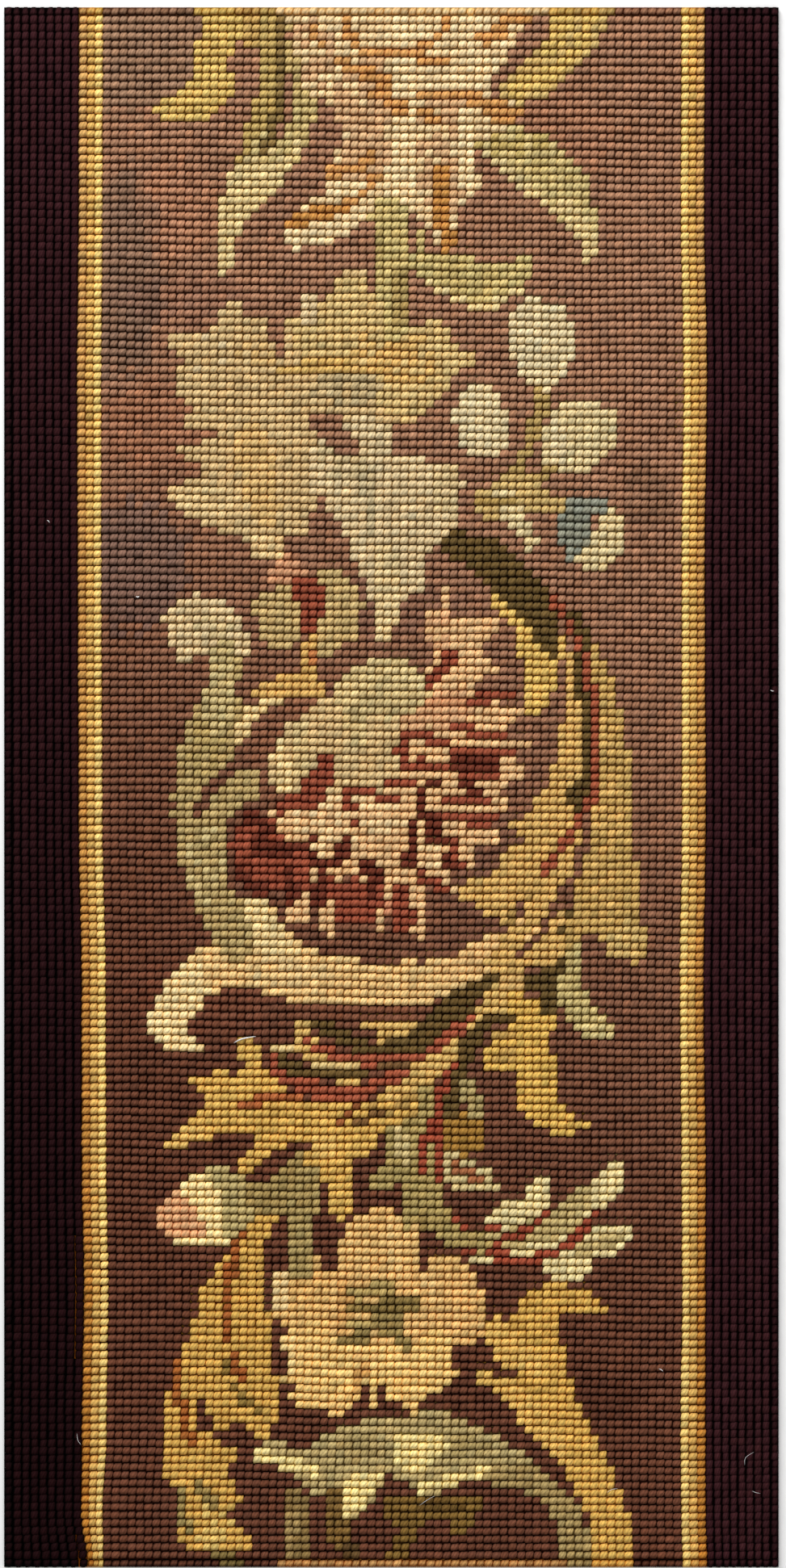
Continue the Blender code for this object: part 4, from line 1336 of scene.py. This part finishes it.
def rim_of(layer):
    """The corners around a layer, once round."""
    right, left = [row[-1] for row in layer], [row[0] for row in layer]
    return layer[0][:-1] + right[:-1] + layer[-1][:0:-1] + left[:0:-1]


upper_rim, lower_rim = rim_of(face_layer), rim_of(back_layer)
for k, corner in enumerate(upper_rim):
    mesh.faces.new((corner, upper_rim[k - 1], lower_rim[k - 1], lower_rim[k]))
bmesh.ops.recalc_face_normals(mesh, faces=mesh.faces)
# Between the stitches the canvas has the wool's colour, which its material darkens as painted shade in the
# gaps, and on the back and the edge the wool itself shows.
GAP_SHADE_POWER, GAP_SHADE_LEVEL = 1.6, 0.5
WOOL_SHOWN = 0.8
canvas_colour_layer = mesh.loops.layers.float_color.new("wool")
dyes = linear(stitch_colour).reshape(ROWS, ALL_COLUMNS, 3)
bare_dyes = (dyes * WOOL_SHOWN / GAP_SHADE_LEVEL) ** (1 / GAP_SHADE_POWER)
for face in mesh.faces:
    middle = face.calc_center_median()
    c = min(max(int((middle.x + WIDTH / 2) / COLUMN), 0), ALL_COLUMNS - 1)
    r = min(max(int((LENGTH / 2 - middle.y) / ROW), 0), ROWS - 1)
    dye_and_shade = dyes[r, c] if face.normal.z > 0.5 else bare_dyes[r, c]
    for loop in face.loops:
        loop[canvas_colour_layer] = (*dye_and_shade, 1.0)
canvas_data = bpy.data.meshes.new("canvas")
mesh.to_mesh(canvas_data)
mesh.free()
canvas = add_object("canvas", canvas_data)
cotton, nodes, links, shader = new_material("canvas", roughness=0.95, gloss=0.02)
canvas_colour_node = nodes.new("ShaderNodeAttribute")
canvas_colour_node.attribute_name = "wool"
painted_shade = nodes.new("ShaderNodeGamma")
painted_shade.inputs["Gamma"].default_value = GAP_SHADE_POWER
links.new(canvas_colour_node.outputs["Color"], painted_shade.inputs["Color"])
spot = nodes.new("ShaderNodeTexCoord").outputs["Object"]
# Painted shade between the stitches: the canvas is the wool's colour raised to a power and darkened, with a
# random fuzz.
fuzz_and_gap_shade = noise_colour(nodes, links, spot, 900.0, 0.72 * GAP_SHADE_LEVEL, 1.28 * GAP_SHADE_LEVEL)
darker = nodes.new("ShaderNodeVectorMath")
darker.operation = "SCALE"
links.new(painted_shade.outputs[0], darker.inputs[0])
links.new(fuzz_and_gap_shade, darker.inputs["Scale"])
links.new(darker.outputs[0], shader.inputs["Base Color"])
fibres = nodes.new("ShaderNodeBump")
fibres.inputs["Strength"].default_value = 0.6
fibres.inputs["Distance"].default_value = 0.0003
links.new(fuzz_and_gap_shade, fibres.inputs["Height"])
links.new(fibres.outputs[0], shader.inputs["Normal"])
canvas_data.materials.append(cotton)
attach(canvas, "root")
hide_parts("needlepoint_panel")

# The hairs and lint
# What the worked face has caught: the loose end of one cream wool, a few pale hairs and specks of lint.
# Each lies on the crests of the stitches.

# Each one: how thick it is at its middle, and where it runs, in pixels of the photograph's frame.
CAUGHT = (
    (0.00022, ((290, 1291), (300, 1286), (317, 1283))),
    (0.00006, ((921, 1813), (922, 1804), (932, 1797))),
    (0.00006, ((930, 1845), (935, 1847), (940, 1848))),
    (0.00006, ((519, 1863), (529, 1856), (538, 1851))),
    (0.00006, ((751, 1847), (757, 1843), (764, 1842))),
    (0.00007, ((96, 1774), (97, 1782), (101, 1788))),
    (0.00020, ((169, 739), (171, 740), (173, 739))),
    (0.00014, ((59, 645), (61, 646), (62, 648))),
    (0.00014, ((815, 1694), (818, 1695), (820, 1697))),
    (0.00012, ((953, 855), (955, 856), (957, 856))),
)
hair_curve = bpy.data.curves.new("caught_hairs", "CURVE")
hair_curve.dimensions = "3D"
hair_curve.bevel_depth = 1.0
hair_curve.bevel_resolution = 1
hair_curve.use_fill_caps = True
for thick, points in CAUGHT:
    route = curve_through(points, steps=3)
    strand = hair_curve.splines.new("POLY")
    strand.points.add(len(route) - 1)
    for point, (x, y), share in zip(strand.points, route, np.linspace(0.0, math.pi, len(route))):
        point.co = (
            (x - PANEL_MIDDLE_PIXEL[0]) * METRES_PER_PIXEL,
            (PANEL_MIDDLE_PIXEL[1] - y) * METRES_PER_PIXEL,
            CREST + thick / 2,
            1.0,
        )
        point.radius = thick * (0.35 + 0.65 * math.sin(share))
hair_object = add_object("caught_hairs_curve", hair_curve)
evaluated = hair_object.evaluated_get(bpy.context.evaluated_depsgraph_get())
hair_data = bpy.data.meshes.new_from_object(evaluated)
bpy.data.objects.remove(hair_object)
mesh = bmesh.new()
mesh.from_mesh(hair_data)
bmesh.ops.remove_doubles(mesh, verts=mesh.verts, dist=0.000001)
bmesh.ops.recalc_face_normals(mesh, faces=mesh.faces)
mesh.to_mesh(hair_data)
mesh.free()
hairs = add_object("caught_hairs", hair_data)
pale_hair, nodes, links, shader = new_material("pale_hair", roughness=0.8)
spot = nodes.new("ShaderNodeTexCoord").outputs["Object"]
links.new(noise_colour(nodes, links, spot, 2000.0, 0.55, 0.85), shader.inputs["Base Color"])
hair_data.materials.clear()
hair_data.materials.append(pale_hair)
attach(hairs, "root")

for form in (BAND_STITCH, BORDER_STITCH):
    bpy.data.objects.remove(form)

bpy.context.view_layer.update()
